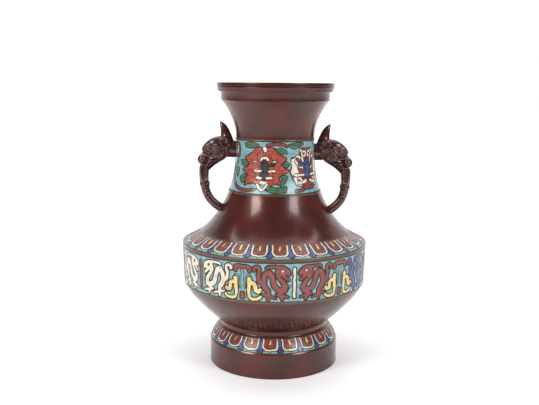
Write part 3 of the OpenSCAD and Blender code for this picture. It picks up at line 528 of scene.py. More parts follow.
def lay_band(name, curve, repeats, slots, node_prefix):
    """Makes the enamel and wall pieces of a band.
    repeats is a list of (drawing's triangles, its width, start and width as shares of a turn,
    flipped or not, and {cell: colour})."""
    at, run = surface_of(curve)
    verts, inner, faces, labels = [], [], [], []
    for (points, tris, names, inside), width, start_share, share, flip, colours in repeats:
        base = sum(len(v) for v in verts)
        across = points[:, 0] / width
        turn_share = start_share + share * (1 - across if flip else across)
        verts.append(np.stack([turn_share, points[:, 1]], 1))
        inner.append(inside)
        faces.append((tris[:, ::-1] if flip else tris) + base)
        labels += [colours.get(n, n) for n in names]
    verts, inner, faces = np.concatenate(verts), np.concatenate(inner), np.concatenate(faces)
    labels = np.array(labels)
    key = np.round(np.stack([np.mod(verts[:, 0] + 1e-7, 1.0) * 1e5, verts[:, 1] * 100],
        1)).astype(int)
    _, first, same = np.unique(key, axis=0, return_index=True, return_inverse=True)
    verts, inner, faces = verts[first], inner[first], same.ravel()[faces]
    a = 2 * math.pi * verts[:, 0]
    calm = np.clip(np.minimum(verts[:, 1], run - verts[:, 1]) / 2.5, 0, 1)
    y = verts[:, 1]
    sway = WOBBLE * calm * (np.sin(37 * a + 0.5 * y) + 0.7 * np.sin(61 * a - 0.9 * y + 2))
    lift = WOBBLE * calm * (np.sin(43 * a + 0.4 * y + 1) + 0.7 * np.sin(29 * a + 0.8 * y))
    mean_r = curve(0.5)[0]
    turn_share = verts[:, 0] + sway / (2 * math.pi * mean_r)
    down = y + lift
    for colour in sorted(set(labels)):
        mine = faces[labels == colour]
        mine = mine[(mine[:, 0] != mine[:, 1]) & (mine[:, 1] != mine[:, 2]) & (mine[:, 0] != mine[:,
            2])]
        used, local = np.unique(mine, return_inverse=True)
        local = local.reshape(-1, 3)
        if colour == "wall":
            depth = np.full(len(used), 0.0)
        else:
            depth = SINK + DISH * np.clip(-inner[used] / 0.8, 0, 1)
        top = at(turn_share[used], down[used], depth)
        bottom = at(turn_share[used], down[used], np.full(len(used), BED))
        n = len(used)
        pairs = np.concatenate([local[:, [0, 1]], local[:, [1, 2]], local[:, [2, 0]]])
        lookup = {tuple(p) for p in pairs.tolist()}
        rim = [(a0, b0) for a0, b0 in pairs.tolist() if (b0, a0) not in lookup]
        solid = (local.tolist() + (local[:, ::-1] + n).tolist()
                 + [(b0, a0, a0 + n, b0 + n) for a0, b0 in rim])
        walls = colour == "wall"
        piece_name = f"{name}_walls" if walls else f"{name}_{colour}_glass"
        node = "cell_walls" if walls else "enamel_" + STANDS_FOR.get((node_prefix, colour), colour)
        piece = add_piece(piece_name, np.concatenate([top, bottom]), solid, slots[colour],
            f"{node_prefix}_{node}")
        FINISH_OF[piece.name] = "cell_metal" if walls else "enamel_" + colour
        print(piece.name, len(piece.data.polygons), "faces")


SLOTS = {"wall": "cell_metal", "maroon": "enamel_red", "black": "enamel_blue",
    **{c: "enamel_" + c for c in (
    "turquoise", "red", "white", "blue", "green", "yellow")}}

# %% [markdown]
# ## The belly band: dragons and masks
# Twelve half panels go round the belly. Each has a rearing dragon beside an upright bar,
# and half of a face-like mask with yellow scrolls. Mirrored copies stand back to back at
# the bars. The dragons are dark red, white and blue in turn.

# %% Draw half a panel of the belly
PANELS = 6
BAR_AT = 11.8 / 360                     # share of a turn from the front to one bar
_, belly_run = surface_of(belly_curve)
half_w = math.pi * 100 / PANELS
half = Drawing(half_w, belly_run, "ground", 1.2, belly_run - 0.7)
x, y = half.x, half.y + 1.7
t = half_w - x
for distance in (
        stroke(t, y, [(1.5, 9.6, 0.7), (1.5, 28, 0.7)], False),
        stroke(t, y, [(8.6, 17.2, 0.8), (8.3, 14.4, 0.8), (4.6, 14.4, 0.8), (3.1, 16.8, 0.8),
                      (3.1, 28.4, 0.8), (1.6, 29.4, 0.8)], False),
        stroke(x, y, [(31.5, 33.5, 0.6), (33.6, 35.8, 0.6), (32.6, 38.6, 0.6)]),
        stroke(x, y, [(5.2, 23.5, 0.6), (4.2, 26.2, 0.6), (5.6, 28.6, 0.6)])):
    half.line(distance)
scroll = np.minimum.reduce([
    stroke(t, y, [(7.4, 18.8, 3.2), (7.0, 25, 3.0), (6.7, 31, 2.4), (7.0, 36.5, 2.0),
        (9.0, 38.9, 2.0),
                  (12.8, 39.2, 2.0), (16.5, 38.4, 1.8), (18.6, 36.6, 1.8)]),
    stroke(t, y, [(7.3, 22.9, 3.4), (11.4, 23.1, 3.0), (13.2, 25.6, 3.0), (13.6, 29.6, 2.8)]),
    stroke(t, y, [(13.4, 30.6, 2.6), (16.6, 31.2, 2.8), (18.0, 29.6, 2.2)])])
half.add("scroll", scroll - 0.4)
half.add("mask", np.minimum(
    stroke(t, y, [(-3, 6.5, 3), (0, 6.6, 3), (4, 6.3, 3), (6.8, 7.6, 3.4), (7.2, 10, 3.8)]),
    slab(t, y, -1.9, 1.9, 32.5, 39.3, 1.4)))
body = stroke(x, y, [
    (16, 11, 5), (16.2, 14.5, 4), (14.2, 18.3, 3.3), (11.2, 21.8, 4), (9.4, 25.8, 5),
        (10.6, 29.3, 5.6),
    (14.5, 29.8, 5), (18.8, 26.8, 4.6), (21, 22, 4.2), (22.3, 17, 4.6), (24.3, 13, 5.2),
        (27.3, 12.2, 5.2),
    (29.6, 15, 4.6), (30.4, 19, 4.4), (30.8, 23.3, 5), (29, 27, 4.6), (26.6, 30, 3.8),
        (26.2, 33.5, 3.6)])
tail = stroke(x, y, [(31.4, 22.2, 4), (34.6, 20.6, 3.6), (36, 15, 2.8), (34.9, 10.5, 2.6),
    (35.2, 7.4, 2.6),
                     (38, 6.2, 2.8), (40.3, 8, 2.6), (40, 9.6, 2.4)])
head = area(x, y, [(4.2, 12.5), (5.2, 9.5), (8, 6.7), (12, 5.2), (16.5, 5.6), (17.8, 8), (17.5, 12),
                   (15.5, 14.5), (12.5, 14.8), (10, 14.5), (8, 13.9), (5.5, 14.6)], True)
jaw = stroke(x, y, [(11, 14, 3.4), (9, 16.5, 2.6), (6.3, 18.9, 2.0)])
crest = stroke(x, y, [(14, 6.6, 2.4), (20, 5.9, 2.2), (25.5, 6.0, 2.0), (27.6, 7.2, 1.6)])
front_foot = [stroke(x, y, [(12.5, 30, 4), (14.2, 33.3, 4.2), (13, 35.8, 3.6)]),
              stroke(x, y, [(13, 35.8, 3), (9.5, 35.6, 2), (6.2, 36.6, 1.4)]),
              stroke(x, y, [(13, 35.8, 3), (12, 38.8, 2.2)]),
              stroke(x, y, [(13.6, 35.4, 2.6), (17.8, 33.8, 1.4)])]
hind_foot = [stroke(x, y, [(26.2, 33, 3.6), (26, 36, 4)]),
             stroke(x, y, [(26, 36, 2.6), (22.4, 36.2, 2), (19, 37.6, 1.4)]),
             stroke(x, y, [(26, 36, 3), (26.2, 39, 2.4)]),
             stroke(x, y, [(26.6, 35.6, 2.6), (31.8, 34, 1.6)])]
half.add("dragon", np.minimum.reduce([body, tail, head, jaw, crest] + front_foot + hind_foot) - 0.1)
half.add("eye", oval(x, y, 12.0, 10.0, 1.15, 1.15), 0.5)
half.add("bar", slab(x, y, -1.25, 1.25, 7, 37.6, 0.3))
half_mesh = triangles_of(half)
print("half a panel has", len(half_mesh[1]), "triangles")

# %% Lay the belly band
DRAGONS = ("maroon", "blue", "white")          # from the bar near the front, to the right
belly_repeats = []
for k in range(PANELS):
    dragon = DRAGONS[k % 3]
    colours = {"ground": "turquoise", "scroll": "yellow", "mask": "maroon", "dragon": dragon,
               "eye": "maroon" if dragon == "white" else "white",
               "bar": "white" if k % 2 == 0 else "maroon"}
    bar_at = BAR_AT + k / PANELS
    share = 0.5 / PANELS
    belly_repeats.append((half_mesh, half_w, bar_at, share, False, colours))
    belly_repeats.append((half_mesh, half_w, bar_at - share, share, True, colours))
lay_band("belly_band", belly_curve, belly_repeats, SLOTS, "belly")

# %% [markdown]
# ## The lappets of the shoulder and the foot
# A lappet is a hanging tongue-shaped leaf. Twenty-seven of them ring the shoulder and
# twenty the foot, each with a white frame, a dark red field and a yellow drop, and blue
# tongues between them. Three drawings that differ slightly take turns, as a hand would.

# %% Draw one lappet
def lappet(pitch, run, deep, frame, variant):
    """One lappet between the middles of two blue tongues. Sizes in mm."""
    art = Drawing(pitch, run, "ground", deep - 2.0, run - 0.55)
    x, y = art.x - pitch / 2, art.y
    half_top, half_low = pitch * 0.41, pitch * 0.388
    side = [(half_top, -2), (half_top, 0), (half_low + 0.2, deep * 0.6),
        (half_low - 0.6, deep * 0.84),
            (half_low - 2.8, deep * 0.97), (1.2, deep * 1.0), (0, deep * 1.06)]
    ring = side + [(-a, b) for a, b in side[-2::-1]]
    outer = area(x, y, ring)
    art.limit = np.maximum(0.45 - y, y - (run - 0.55))
    tongue = np.minimum.reduce([
        stroke(x - s * pitch / 2, y, [(0, 0, pitch * 0.16), (0, deep * 0.7, pitch * 0.2),
                                      (0, deep * 0.98, pitch * 0.26)], False) for s in (-1, 1)])
    art.add("tongue", tongue, 0.95)
    art.add("frame", outer, 0.95)
    art.add("field", outer + frame + 0.75, 0.75)
    lean = (-0.5, 0.35, 0.0)[variant]
    width = (1.1, 1.5, 2.0)[variant]
    top = deep * 0.16
    art.add("drop", stroke(x, y, [(-lean, top, width), (lean, top + deep * 0.3, width * 1.35)],
        False), 0.6)
    for s in (-1, 1):
        art.line(stroke(x, y, [(s * pitch * 0.2, deep * 0.18, 0.5),
            (s * pitch * 0.2, deep * 0.6, 0.5),
                               (s * pitch * 0.08, deep * 0.66, 0.5),
                                   (s * pitch * 0.08, deep * 0.8, 0.5)], False))
    return triangles_of(art, 2.2)


def lay_lappets(name, curve, count, first_at, deep, frame, node_prefix):
    """Draws three kinds of lappet and lays them in turn around a band."""
    _, run = surface_of(curve)
    pitch = 2 * math.pi * curve(0.5)[0] / count
    kinds = [lappet(pitch, run, deep, frame, v) for v in range(3)]
    colours = {"ground": "turquoise", "tongue": "blue", "frame": "white", "field": "maroon",
        "drop": "yellow"}
    order = [0, 1, 2, 1, 0, 2, 0, 2, 1]
    repeats = [(kinds[order[k % len(order)]], pitch, first_at / 360 + (k - 0.5) / count, 1 / count,
                False, colours) for k in range(count)]
    lay_band(name, curve, repeats, SLOTS, node_prefix)


SHOULDER_LAPPETS, SHOULDER_FIRST_AT = 27, 3.9     # how many, and degrees to the first one
FOOT_LAPPETS, FOOT_FIRST_AT = 20, -2.7
SHOULDER_DEEP, SHOULDER_FRAME = 17.0, 1.7         # mm, a lappet's length and frame width
FOOT_DEEP, FOOT_FRAME = 13.2, 1.5
lay_lappets("shoulder_band", shoulder_curve, SHOULDER_LAPPETS, SHOULDER_FIRST_AT,
            SHOULDER_DEEP, SHOULDER_FRAME, "shoulder")
lay_lappets("foot_band", foot_curve, FOOT_LAPPETS, FOOT_FIRST_AT, FOOT_DEEP, FOOT_FRAME, "foot")

# %% [markdown]
# ## The neck band: red and white flowers
# A red and a white flower stand together, then square spirals of vine and green leaves
# fill the turquoise ground up to the next pair. One pair is drawn and repeated; drawing
# its neighbours too makes the seam invisible.

# %% Draw a pair of flowers
FLOWER_PAIRS = 2
RED_AT = -14.6 / 360                    # share of a turn from the front to a red flower
_, neck_run = surface_of(neck_curve)
pair_w = 2 * math.pi * 45 / FLOWER_PAIRS
pair = Drawing(pair_w, neck_run, "ground", 0.9, neck_run - 0.9)
WHITE_AT = 51.0                         # mm from a red flower's middle to the white one's


def everywhere(shape, *args, **kw):
    """A shape at its place and one repeat to either side."""
    y = pair.y + 1.4
    return np.minimum.reduce([shape(pair.x - s * pair_w, y, *args, **kw) for s in (-1, 0, 1)])


def mirrored(points, middle):
    """The same points on the other side of a flower's middle."""
    return [(2 * middle - p[0],) + tuple(p[1:]) for p in points]


RED_FLOWER = [(0, 9.5), (5, 8), (11, 9.2), (14, 14), (24, 19), (21.5, 22), (18, 25.5), (21.5, 29),
    (27.5, 32),
              (21, 34.5), (15.2, 38), (16.2, 42), (17.5, 46.5), (12, 44.6), (6, 46.8), (0, 44.8),
                  (-6, 47),
              (-12, 44.2), (-22.5, 47.4), (-21.5, 42), (-18.5, 37.5), (-21, 35), (-27.5, 32),
                  (-21.5, 29),
              (-18, 25.5), (-21.5, 22), (-24, 19), (-14.5, 14), (-11, 9.2), (-5, 8)]
SIDE_LEAF = [(-34, 32), (-40, 30), (-41, 36), (-36, 40)]
LEAF_MIDDLE = -47.1                     # mm, half way between the two side leaves
LEAVES = [mirrored(SIDE_LEAF, LEAF_MIDDLE), SIDE_LEAF,
          [(11.5, 11.8), (16, 8.8), (22, 9.8), (25, 13.8), (18.5, 13.6)],
          [(-31.5, 22.4), (-24, 22), (-19.4, 25.4), (-24, 28.6), (-29, 26.5)],
          [(18.4, 37.2), (24.5, 37.4), (23, 43), (20, 45.2)],
          [(-31, 40), (-26.5, 37.2), (-21, 37.4), (-23, 43.4), (-27.5, 45.4)],
          [(3, 52), (8, 48.8), (15, 49.6), (22.5, 48.2), (22, 53.6), (10, 54.6)],
          [(27, 5.2), (36, 3.4), (46, 4.4), (37, 8.6), (30, 8.2)],
          [(-26, 5), (-17, 3.2), (-7, 5.4), (-13, 8), (-22, 8.4)],
          [(19, 24), (24, 22.4), (27, 25.6), (23.5, 28.2)]]
for leaf in LEAVES:
    pair.add("leaf", everywhere(area, leaf, smooth=True), 1.0)
    middle = np.mean(leaf, 0)
    tip, back = max(leaf, key=lambda p: p[0]), min(leaf, key=lambda p: p[0])
    pair.line(everywhere(stroke, [(*(0.7 * np.array(tip) + 0.3 * middle), 0.5), (*middle, 0.6),
                                  (*(0.7 * np.array(back) + 0.3 * middle), 0.5)]))
FILLER_MIDDLE = -pair_w / 3             # mm, half way between two pairs
SPIRAL = [(-45.4, 18.4, 2.6), (-37.5, 18.0, 2.6), (-35.8, 12, 2.6), (-37.5, 6.4, 2.6),
    (-44, 5.8, 2.4),
          (-44.6, 11.6, 1.8)]
LONG_VINE = [(-35, 50, 2.2), (-41, 46, 2.4), (-45, 38, 2.6), (-44, 29, 2.4), (-39, 24, 2.0)]
VINES = [[(3, 5.6, 2.2), (12, 4.2, 2.4), (20, 4.8, 2.4), (25, 6.6, 2.0)],
         [(-35, 50, 2.2), (-28, 52.6, 2.6), (-18, 53.2, 2.4), (-8, 51.4, 1.6)],
         SPIRAL, mirrored(SPIRAL, FILLER_MIDDLE),
         LONG_VINE, mirrored(LONG_VINE, FILLER_MIDDLE),
         [(33, 53.6, 2.0), (38, 53, 2.6), (44, 50.5, 2.8), (49, 47, 3.2)]]
for vine in VINES:
    pair.add("vine", everywhere(stroke, vine), 0.9)
pair.add("red", everywhere(area, RED_FLOWER))
for line in ([(-2, 12, 0.6), (-1, 16, 0.6), (-5, 19, 0.6)],
    [(9, 12, 0.6), (8, 20, 0.6), (13, 24, 0.6)],
             [(9, 35, 0.6), (12, 31, 0.6), (19, 31.5, 0.6)],
                 [(6, 42.5, 0.6), (10, 39, 0.6), (9, 35, 0.6)]):
    pair.line(everywhere(stroke, line))
    pair.line(everywhere(stroke, mirrored(line, 0)))
pair.add("heart", everywhere(oval, 0, 31, 4.6, 11), 0.85)
pair.add("heart", everywhere(stroke, [(4.5, 25.8, 2.6), (10.5, 25.8, 2.6)]), 0.6)
pair.add("cream", everywhere(stroke, [(-40.6, 11.6, 2.4), (-40.8, 13.2, 2.4)]), 0.6)
CREAM = [[(-4, 20.6, 2.2), (-2, 18.8, 2.2), (2, 18.8, 2.2), (4, 20.6, 2.2)],
    [(0, 9.4, 3.8), (0.6, 10.6, 3.8)],
         [(5.6, 32.2, 2.2), (11, 32.2, 2.2)], [(3.4, 39.2, 2.2), (8, 39.2, 2.2)],
         [(-4, 32.2, 2.2), (-11, 32.2, 2.2)], [(-3.4, 39.2, 2.2), (-8, 39.2, 2.2)],
         [(9.6, 22.4, 1.4), (12.4, 22.6, 1.4)], [(-9.6, 22.4, 1.4), (-12.4, 22.6, 1.4)],
         [(-3, 44.2, 3.0), (2, 44.2, 3.2)], [(-7, 46.5, 2.0), (-1.6, 52, 2.2), (3.6, 46.3, 2.0)]]
for spot in CREAM:
    pair.add("cream", everywhere(stroke, spot), 0.8)

# %% Draw the white flower of the pair
W = WHITE_AT
pair.add("vine", everywhere(area, [
    (W, 8.6), (W + 7, 9.4), (W + 13, 17.5), (W + 21, 18.5), (W + 20.5, 26), (W + 23, 33),
        (W + 20, 41),
    (W + 12, 46.5), (W + 5, 52), (W - 5, 52), (W - 12, 46.5), (W - 20, 41), (W - 23, 33),
        (W - 20.5, 26),
    (W - 21, 18.5), (W - 13, 17.5), (W - 7, 9.4)]), 0.8)
PETALS = [
    [(W - 15, 18.6), (W - 20.6, 19.6), (W - 21.6, 24), (W - 19.8, 28), (W - 22, 33), (W - 19.6, 38),
     (W - 17.5, 36.4), (W - 13.5, 36.2), (W - 12.6, 33.4), (W - 14.4, 27), (W - 15.4, 22)],
    [(W - 19.4, 39.6), (W - 15, 38), (W - 14.6, 44), (W - 9, 46.4), (W - 11.5, 48.6),
        (W - 17, 45.8)]]
WHITE_LINES = [
    [(W - 9, 10.4, 2.4), (W - 7.2, 14, 2.4), (W - 6.6, 19, 2.4), (W - 5.6, 24, 2.0)],
    [(W - 5.6, 12.4, 1.9), (W - 2.6, 12.2, 1.9), (W - 1.6, 14.6, 1.9), (W - 2.8, 17, 1.9),
        (W - 5, 17.2, 1.7)],
    [(W - 15, 17.6, 1.9), (W - 11.6, 17.2, 1.9), (W - 10.8, 19.4, 1.9)],
    [(W - 15.6, 22, 2.2), (W - 12.6, 26.6, 2.2), (W - 7.2, 29.4, 2.2)],
    [(W - 17.5, 36.7, 2.3), (W - 5.4, 36.7, 2.3)],
    [(W - 13, 44.6, 2.6), (W - 6.4, 44.2, 2.6), (W - 2.4, 41.6, 2.3)],
    [(W - 13.4, 40.4, 2.0), (W - 10.6, 40.2, 2.0), (W - 10.0, 42, 2.0)]]
for side in (False, True):
    for petal in PETALS:
        pair.add("cream", everywhere(area, mirrored(petal, W) if side else petal), 0.9)
    for line in WHITE_LINES:
        pair.add("cream", everywhere(stroke, mirrored(line, W) if side else line), 0.85)
pair.add("iris", np.minimum(everywhere(oval, W, 31, 4.8, 10.4),
                            everywhere(stroke,
                                [(W - 11, 25.6, 3.0), (W, 26, 3.6), (W + 11, 25.6, 3.0)])), 0.85)
pair_mesh = triangles_of(pair, 2.0)
print("a pair of flowers has", len(pair_mesh[1]), "triangles")

# %% Lay the neck band
neck_colours = {"ground": "turquoise", "leaf": "green", "vine": "maroon", "red": "red",
    "heart": "black",
                "cream": "white", "iris": "blue"}
lay_band("neck_band", neck_curve, [
    (pair_mesh, pair_w, RED_AT + k / FLOWER_PAIRS, 1 / FLOWER_PAIRS, False, neck_colours)
    for k in range(FLOWER_PAIRS)], SLOTS, "neck")

# %% [markdown]
# ## The beast-head handles
# Each handle is one casting: a horned head grows out of the neck and bites a loop that
# bends down to the shoulder. Sculptors build such forms from simple masses and then blend
# them. Here tapered tubes and small rings are the masses, and a voxel remesh melts them
# into one skin. Width runs along Y, and X is the distance from the vase's axis.

# %% Helpers that make tapered tubes and rings
class Clay:
    """Collects simple closed masses, in mm."""

    def __init__(self):
        self.verts, self.faces = [], []

    def tube(self, points, wide=1.0, square=1.0, sides=20, smooth=True):
        """A tube through points (x, y, z, radius). wide stretches it along Y."""
        p = flowing(points, 4) if smooth else np.array(points, float)
        path, radius = p[:, :3], p[:, 3]
        ahead = np.gradient(path, axis=0)
        ahead /= np.linalg.norm(ahead, axis=1)[:, None] + 1e-9
        first, last = path[0] - ahead[0] * radius[0] * 0.8, path[-1] + ahead[-1] * radius[-1] * 0.8
        path = np.concatenate([[first, path[0] - ahead[0] * radius[0] * 0.55], path,
                               [path[-1] + ahead[-1] * radius[-1] * 0.55, last]])
        ahead = np.concatenate([ahead[:1], ahead[:1], ahead, ahead[-1:], ahead[-1:]])
        radius = np.concatenate([[radius[0] * 0.4, radius[0] * 0.8], radius,
                                 [radius[-1] * 0.8, radius[-1] * 0.4]])
        across = np.array([0.0, 1.0, 0.0]) - ahead * ahead[:, 1:2]
        lost = np.linalg.norm(across, axis=1) < 0.2
        across[lost] = (1.0, 0.0, 0.0)
        across /= np.linalg.norm(across, axis=1)[:, None]
        up = np.cross(ahead, across)
        a = np.linspace(0, 2 * math.pi, sides, endpoint=False)
        c, s = np.cos(a), np.sin(a)
        c, s = np.sign(c) * np.abs(c)**square, np.sign(s) * np.abs(s)**square
        rings = (path[:, None] + radius[:, None, None] * (
            c[None, :, None] * up[:, None] + wide * s[None, :, None] * across[:, None]))
        base, n = len(self.verts), len(path)
        self.verts += rings.reshape(-1, 3).tolist()
        for i in range(n - 1):
            for j in range(sides):
                k = (j + 1) % sides
                self.faces.append([base + i * sides + j, base + i * sides + k,
                                   base + (i + 1) * sides + k, base + (i + 1) * sides + j])
        self.faces.append([base + j for j in range(sides)][::-1])
        self.faces.append([base + (n - 1) * sides + j for j in range(sides)])

    def both(self, points, **kw):
        """The same tube on the near and the far side."""
        self.tube(points, **kw)
        self.tube([(x, -y, z, r) for x, y, z, r in points], **kw)

    def curl(self, x, y, z, ring, thick, turns=1.0, start=0.0, shrink=1.0, lean=0.0):
        """A round or coiled ridge on both cheeks, seen from the side."""
        steps = max(8, int(18 * turns))
        points = []
        for i in range(steps + 1):
            share = i / steps
            a = math.radians(start) + 2 * math.pi * turns * share
            r = ring * (1 - (1 - shrink) * share)
            points.append((x + r * math.cos(a), y + lean * r * math.cos(a), z + r * math.sin(a),
                thick))
        self.both(points, smooth=False, sides=10)


def wall_radius(z):
    """Radius of the vase's outside at a height, from the throat to the shoulder."""
    line = np.concatenate([outline(c, 60) for c in (throat_curve, neck_curve, flare_curve)])
    order = np.argsort(line[:, 1])
    return np.interp(z, line[order, 1], line[order, 0])


print("wall radius at the head:", round(float(wall_radius(throat_z - 13)), 1))

# %% Model one handle out of masses
HEAD_Z = throat_z - 14                 # height of the middle of the head
LOOP_X = 76.3                          # distance of the loop's upright stretch
clay = Clay()


def at_head(points):
    """Points given from the middle of the head at the vase's axis."""
    return [(x, y, HEAD_Z + z, r) for x, y, z, r in points]


# skull, forehead and jaw
clay.tube(at_head([(38, 0, 1, 9.4), (46, 0, 1, 9.3), (54, 0, 1.6, 9.8), (61, 0, 2.2, 10.4),
    (67, 0, 1.2, 9.6),
                   (72, 0, -1, 7.4)]), wide=0.9)
clay.tube(at_head([(52, 0, 8.6, 5), (59, 0, 9.4, 5.6), (66, 0, 7.6, 5.6), (72, 0, 4, 5),
    (75.4, 0, 0.5, 4.4)]), wide=1.15)
clay.tube(at_head([(58, 0, -4, 7.2), (64.5, 0, -8.4, 6.8), (70, 0, -13.4, 5.8),
    (74.6, 0, -18.6, 5.0)]), wide=0.95)
clay.tube(at_head([(70, 0, -2, 6.2), (75, 0, -6, 5.4), (77.8, 0, -10.4, 4.6)]), wide=1.2)
# horn
clay.tube(at_head([(51.6, 0, 10, 6.6), (52.4, 0, 14.4, 5.8), (53.2, 0, 18.2, 4.8),
    (54.6, 0, 22.4, 4.1),
                   (56.6, 0, 26.4, 3.0), (58.4, 0, 29.2, 1.6), (59.5, 0, 30.6, 0.7)]), wide=0.85)
clay.both(at_head([(57.4, 2.6, 13, 1.2), (57.6, 2.4, 18, 1.0), (58.2, 1.6, 23.5, 0.8),
    (59.0, 0.6, 28, 0.5)]))
# curled snout and lips
clay.both(at_head([(58.6, 8.0, -6.4, 1.3), (64, 8.2, -7.2, 1.7), (70, 7.4, -5.6, 1.9),
    (75.6, 6.2, -5.2, 2.1),
                   (80.0, 5.6, -7.0, 2.1), (81.8, 5.4, -10.6, 1.9), (79.8, 5.4, -13.8, 1.7),
                       (76.6, 5.6, -13.2, 1.5),
                   (75.8, 5.8, -10.6, 1.3), (77.8, 6.0, -9.6, 1.2)]))
clay.tube(at_head([(78.2, -5.5, -10.4, 3.6), (78.6, 0, -10.4, 4.4), (78.2, 5.5, -10.4, 3.6)]),
    smooth=True)
clay.both(at_head([(63.4, 6.6, -11.6, 1.2), (68.0, 6.6, -11.4, 1.4), (72.4, 6.0, -13.6, 1.4),
    (73.4, 5.6, -17.6, 1.1)]))
# eye, brow and cheek folds
clay.curl(62.8, 8.9, HEAD_Z - 1.4, 4.2, 1.6, turns=1.35, start=150, shrink=0.7)
clay.both(at_head([(62.6, 8.6, -1.2, 2.0), (62.7, 9.4, -1.2, 1.7)]), smooth=False)
clay.both(at_head([(77.6, 4.4, 0.6, 1.7), (75.0, 6.2, 4.0, 1.9), (70.6, 7.4, 5.6, 1.9),
    (66.0, 8.2, 4.4, 1.7),
                   (62.0, 9.0, 4.6, 1.5), (58.4, 9.2, 2.4, 1.2)]))
clay.both(at_head([(73.6, 6.6, -0.2, 1.9), (70.6, 7.4, 1.8, 1.9), (68.2, 7.8, -0.4, 1.6),
    (70.0, 7.8, -1.8, 1.3)]))
clay.both(at_head([(57.6, 8.8, 4.6, 1.1), (55.0, 9.0, -0.2, 1.2), (56.6, 8.8, -5.4, 1.2),
    (60.6, 8.2, -8.4, 1.1)]))
clay.both(at_head([(52.0, 8.6, 2.6, 0.9), (50.4, 8.8, -1.4, 1.0), (51.8, 8.4, -6.0, 0.9)]))
# ear whorl at the root of the horn
clay.curl(53.6, 6.6, HEAD_Z + 9.6, 5.0, 1.9, turns=1.5, start=200, shrink=0.45)
clay.both(at_head([(53.4, 6.4, 9.6, 1.5), (53.6, 7.4, 9.6, 1.2)]), smooth=False)
# loop with its ridges, scroll and pad
drop = throat_z - 247 + 0.2
loop = [(75.8, 0, 216, 4.7), (LOOP_X, 0, 208, 4.7), (76.6, 0, 201, 4.7), (76.2, 0, 194, 4.8),
    (74.4, 0, 186.6, 4.8),
        (70.9, 0, 179.8, 4.8), (65.8, 0, 174.4, 4.8), (60, 0, 170.1, 4.8), (53.4, 0, 165.5, 4.8),
            (46, 0, 160.4, 4.8)]
clay.tube([(x, y, z + drop, r) for x, y, z, r in loop], wide=1.15, square=0.8, sides=28)
ridges = [((76.25, 0, 196.4, 5.7), (76.15, 0, 195.0, 5.7))]
for one, two in ridges:
    clay.tube([(x, y, z + drop, r) for x, y, z, r in (one, two)], wide=1.15, square=0.8,
        smooth=False, sides=28)
clay.both([(x, y, z + drop, r) for x, y, z, r in (
    (78.6, 4.8, 216, 2.0), (78.8, 5.5, 209, 1.9), (78.6, 5.7, 203.5, 1.9), (77.4, 5.8, 199.6, 1.9),
    (75.0, 5.8, 199.2, 1.8), (73.6, 5.8, 201.4, 1.7), (74.8, 5.7, 203.4, 1.1))])
clay.tube([(x, y, z + drop, r) for x, y, z, r in (
    (80.4, 0, 215, 1.6), (80.9, 0, 208, 1.5), (80.7, 0, 199, 1.3))], wide=1.6)
clay.both([(x, y, z + drop, r) for x, y, z, r in (
    (73.2, 4.9, 188.6, 1.6), (75.4, 5.2, 187.4, 1.5), (75.0, 5.3, 184.8, 1.4),
        (72.6, 5.2, 185.0, 1.2))])
clay.tube([(x, y, z + drop, r) for x, y, z, r in ((55.4, 0, 166.9, 5.6), (50, 0, 163.2, 6.6))],
    wide=1.1, smooth=False)
print("one handle is made of", len(clay.faces), "faces before it is melted together")

# %% Melt the masses into one skin
VOXEL = 0.5 * MM
SOFTEN_STEPS = 5       # passes that smooth the skin after the remesh


def melted(name, mass):
    """One skin around all the masses, as points in mm and faces."""
    mesh = bpy.data.meshes.new(name)
    mesh.from_pydata((np.array(mass.verts) * MM).tolist(), [], mass.faces)
    piece = bpy.data.objects.new(name, mesh)
    bpy.context.scene.collection.objects.link(piece)
    remesh = piece.modifiers.new("melt", "REMESH")
    remesh.mode = "VOXEL"
    remesh.voxel_size = VOXEL
    soften = piece.modifiers.new("soften", "SMOOTH")
    soften.factor = 0.5
    soften.iterations = SOFTEN_STEPS
    done = bpy.data.meshes.new_from_object(piece.evaluated_get(bpy.context.evaluated_depsgraph_get()))
    points = np.zeros(len(done.vertices) * 3)
    done.vertices.foreach_get("co", points)
    faces = [tuple(p.vertices) for p in done.polygons]
    bpy.data.objects.remove(piece)
    bpy.data.meshes.remove(mesh)
    bpy.data.meshes.remove(done)
    return points.reshape(-1, 3) / MM, faces


skin, skin_faces = melted("handle_clay", clay)
print("melted handle:", len(skin), "points, box", skin.min(0).round(1), skin.max(0).round(1))

# %% [markdown]
# The roots of a handle follow the vase's own wall. Points that fall inside the wall are
# pulled out to just under its surface, so that nothing shows inside the neck.

# %% Seat the handles on the vase, one to each side
HANDLE_SINK = 0.9      # mm that a handle's root lies inside the outside of the wall
RIGHT_DROP = 2.4       # mm that the right handle sits lower


def seated(points, lowered):
    """The handle's points with its roots fitted to the wall."""
    p = points.copy()
    p[:, 2] -= lowered
    bed = wall_radius(p[:, 2]) - HANDLE_SINK
    inner = np.sqrt(np.maximum(bed**2 - p[:, 1]**2, 1))
    p[:, 0] = np.maximum(p[:, 0], inner)
    return p


right = seated(skin, RIGHT_DROP)
left = seated(skin, 0.0) * np.array([-1, 1, 1])
add_piece("handle_beast_right", right, skin_faces, "handle_bronze", "handle_right")
add_piece("handle_beast_left", left, [f[::-1] for f in skin_faces], "handle_bronze", "handle_left")
for name in ("handle_beast_right", "handle_beast_left"):
    mesh = made[name].data
    mesh.polygons.foreach_set("use_smooth", [True] * len(mesh.polygons))
    mesh.set_sharp_from_angle(angle=math.pi)
print("handles reach", round(float(right[:, 0].max()), 1), "mm")

# %% [markdown]
# ## Node groups that the materials share
# Every metal on the vase has the same cloudy patina, and every enamel the same small
# pits and clouds. An effect that several materials need is built once as a node group
# with named inputs, and each material gives it its own colours and sizes.

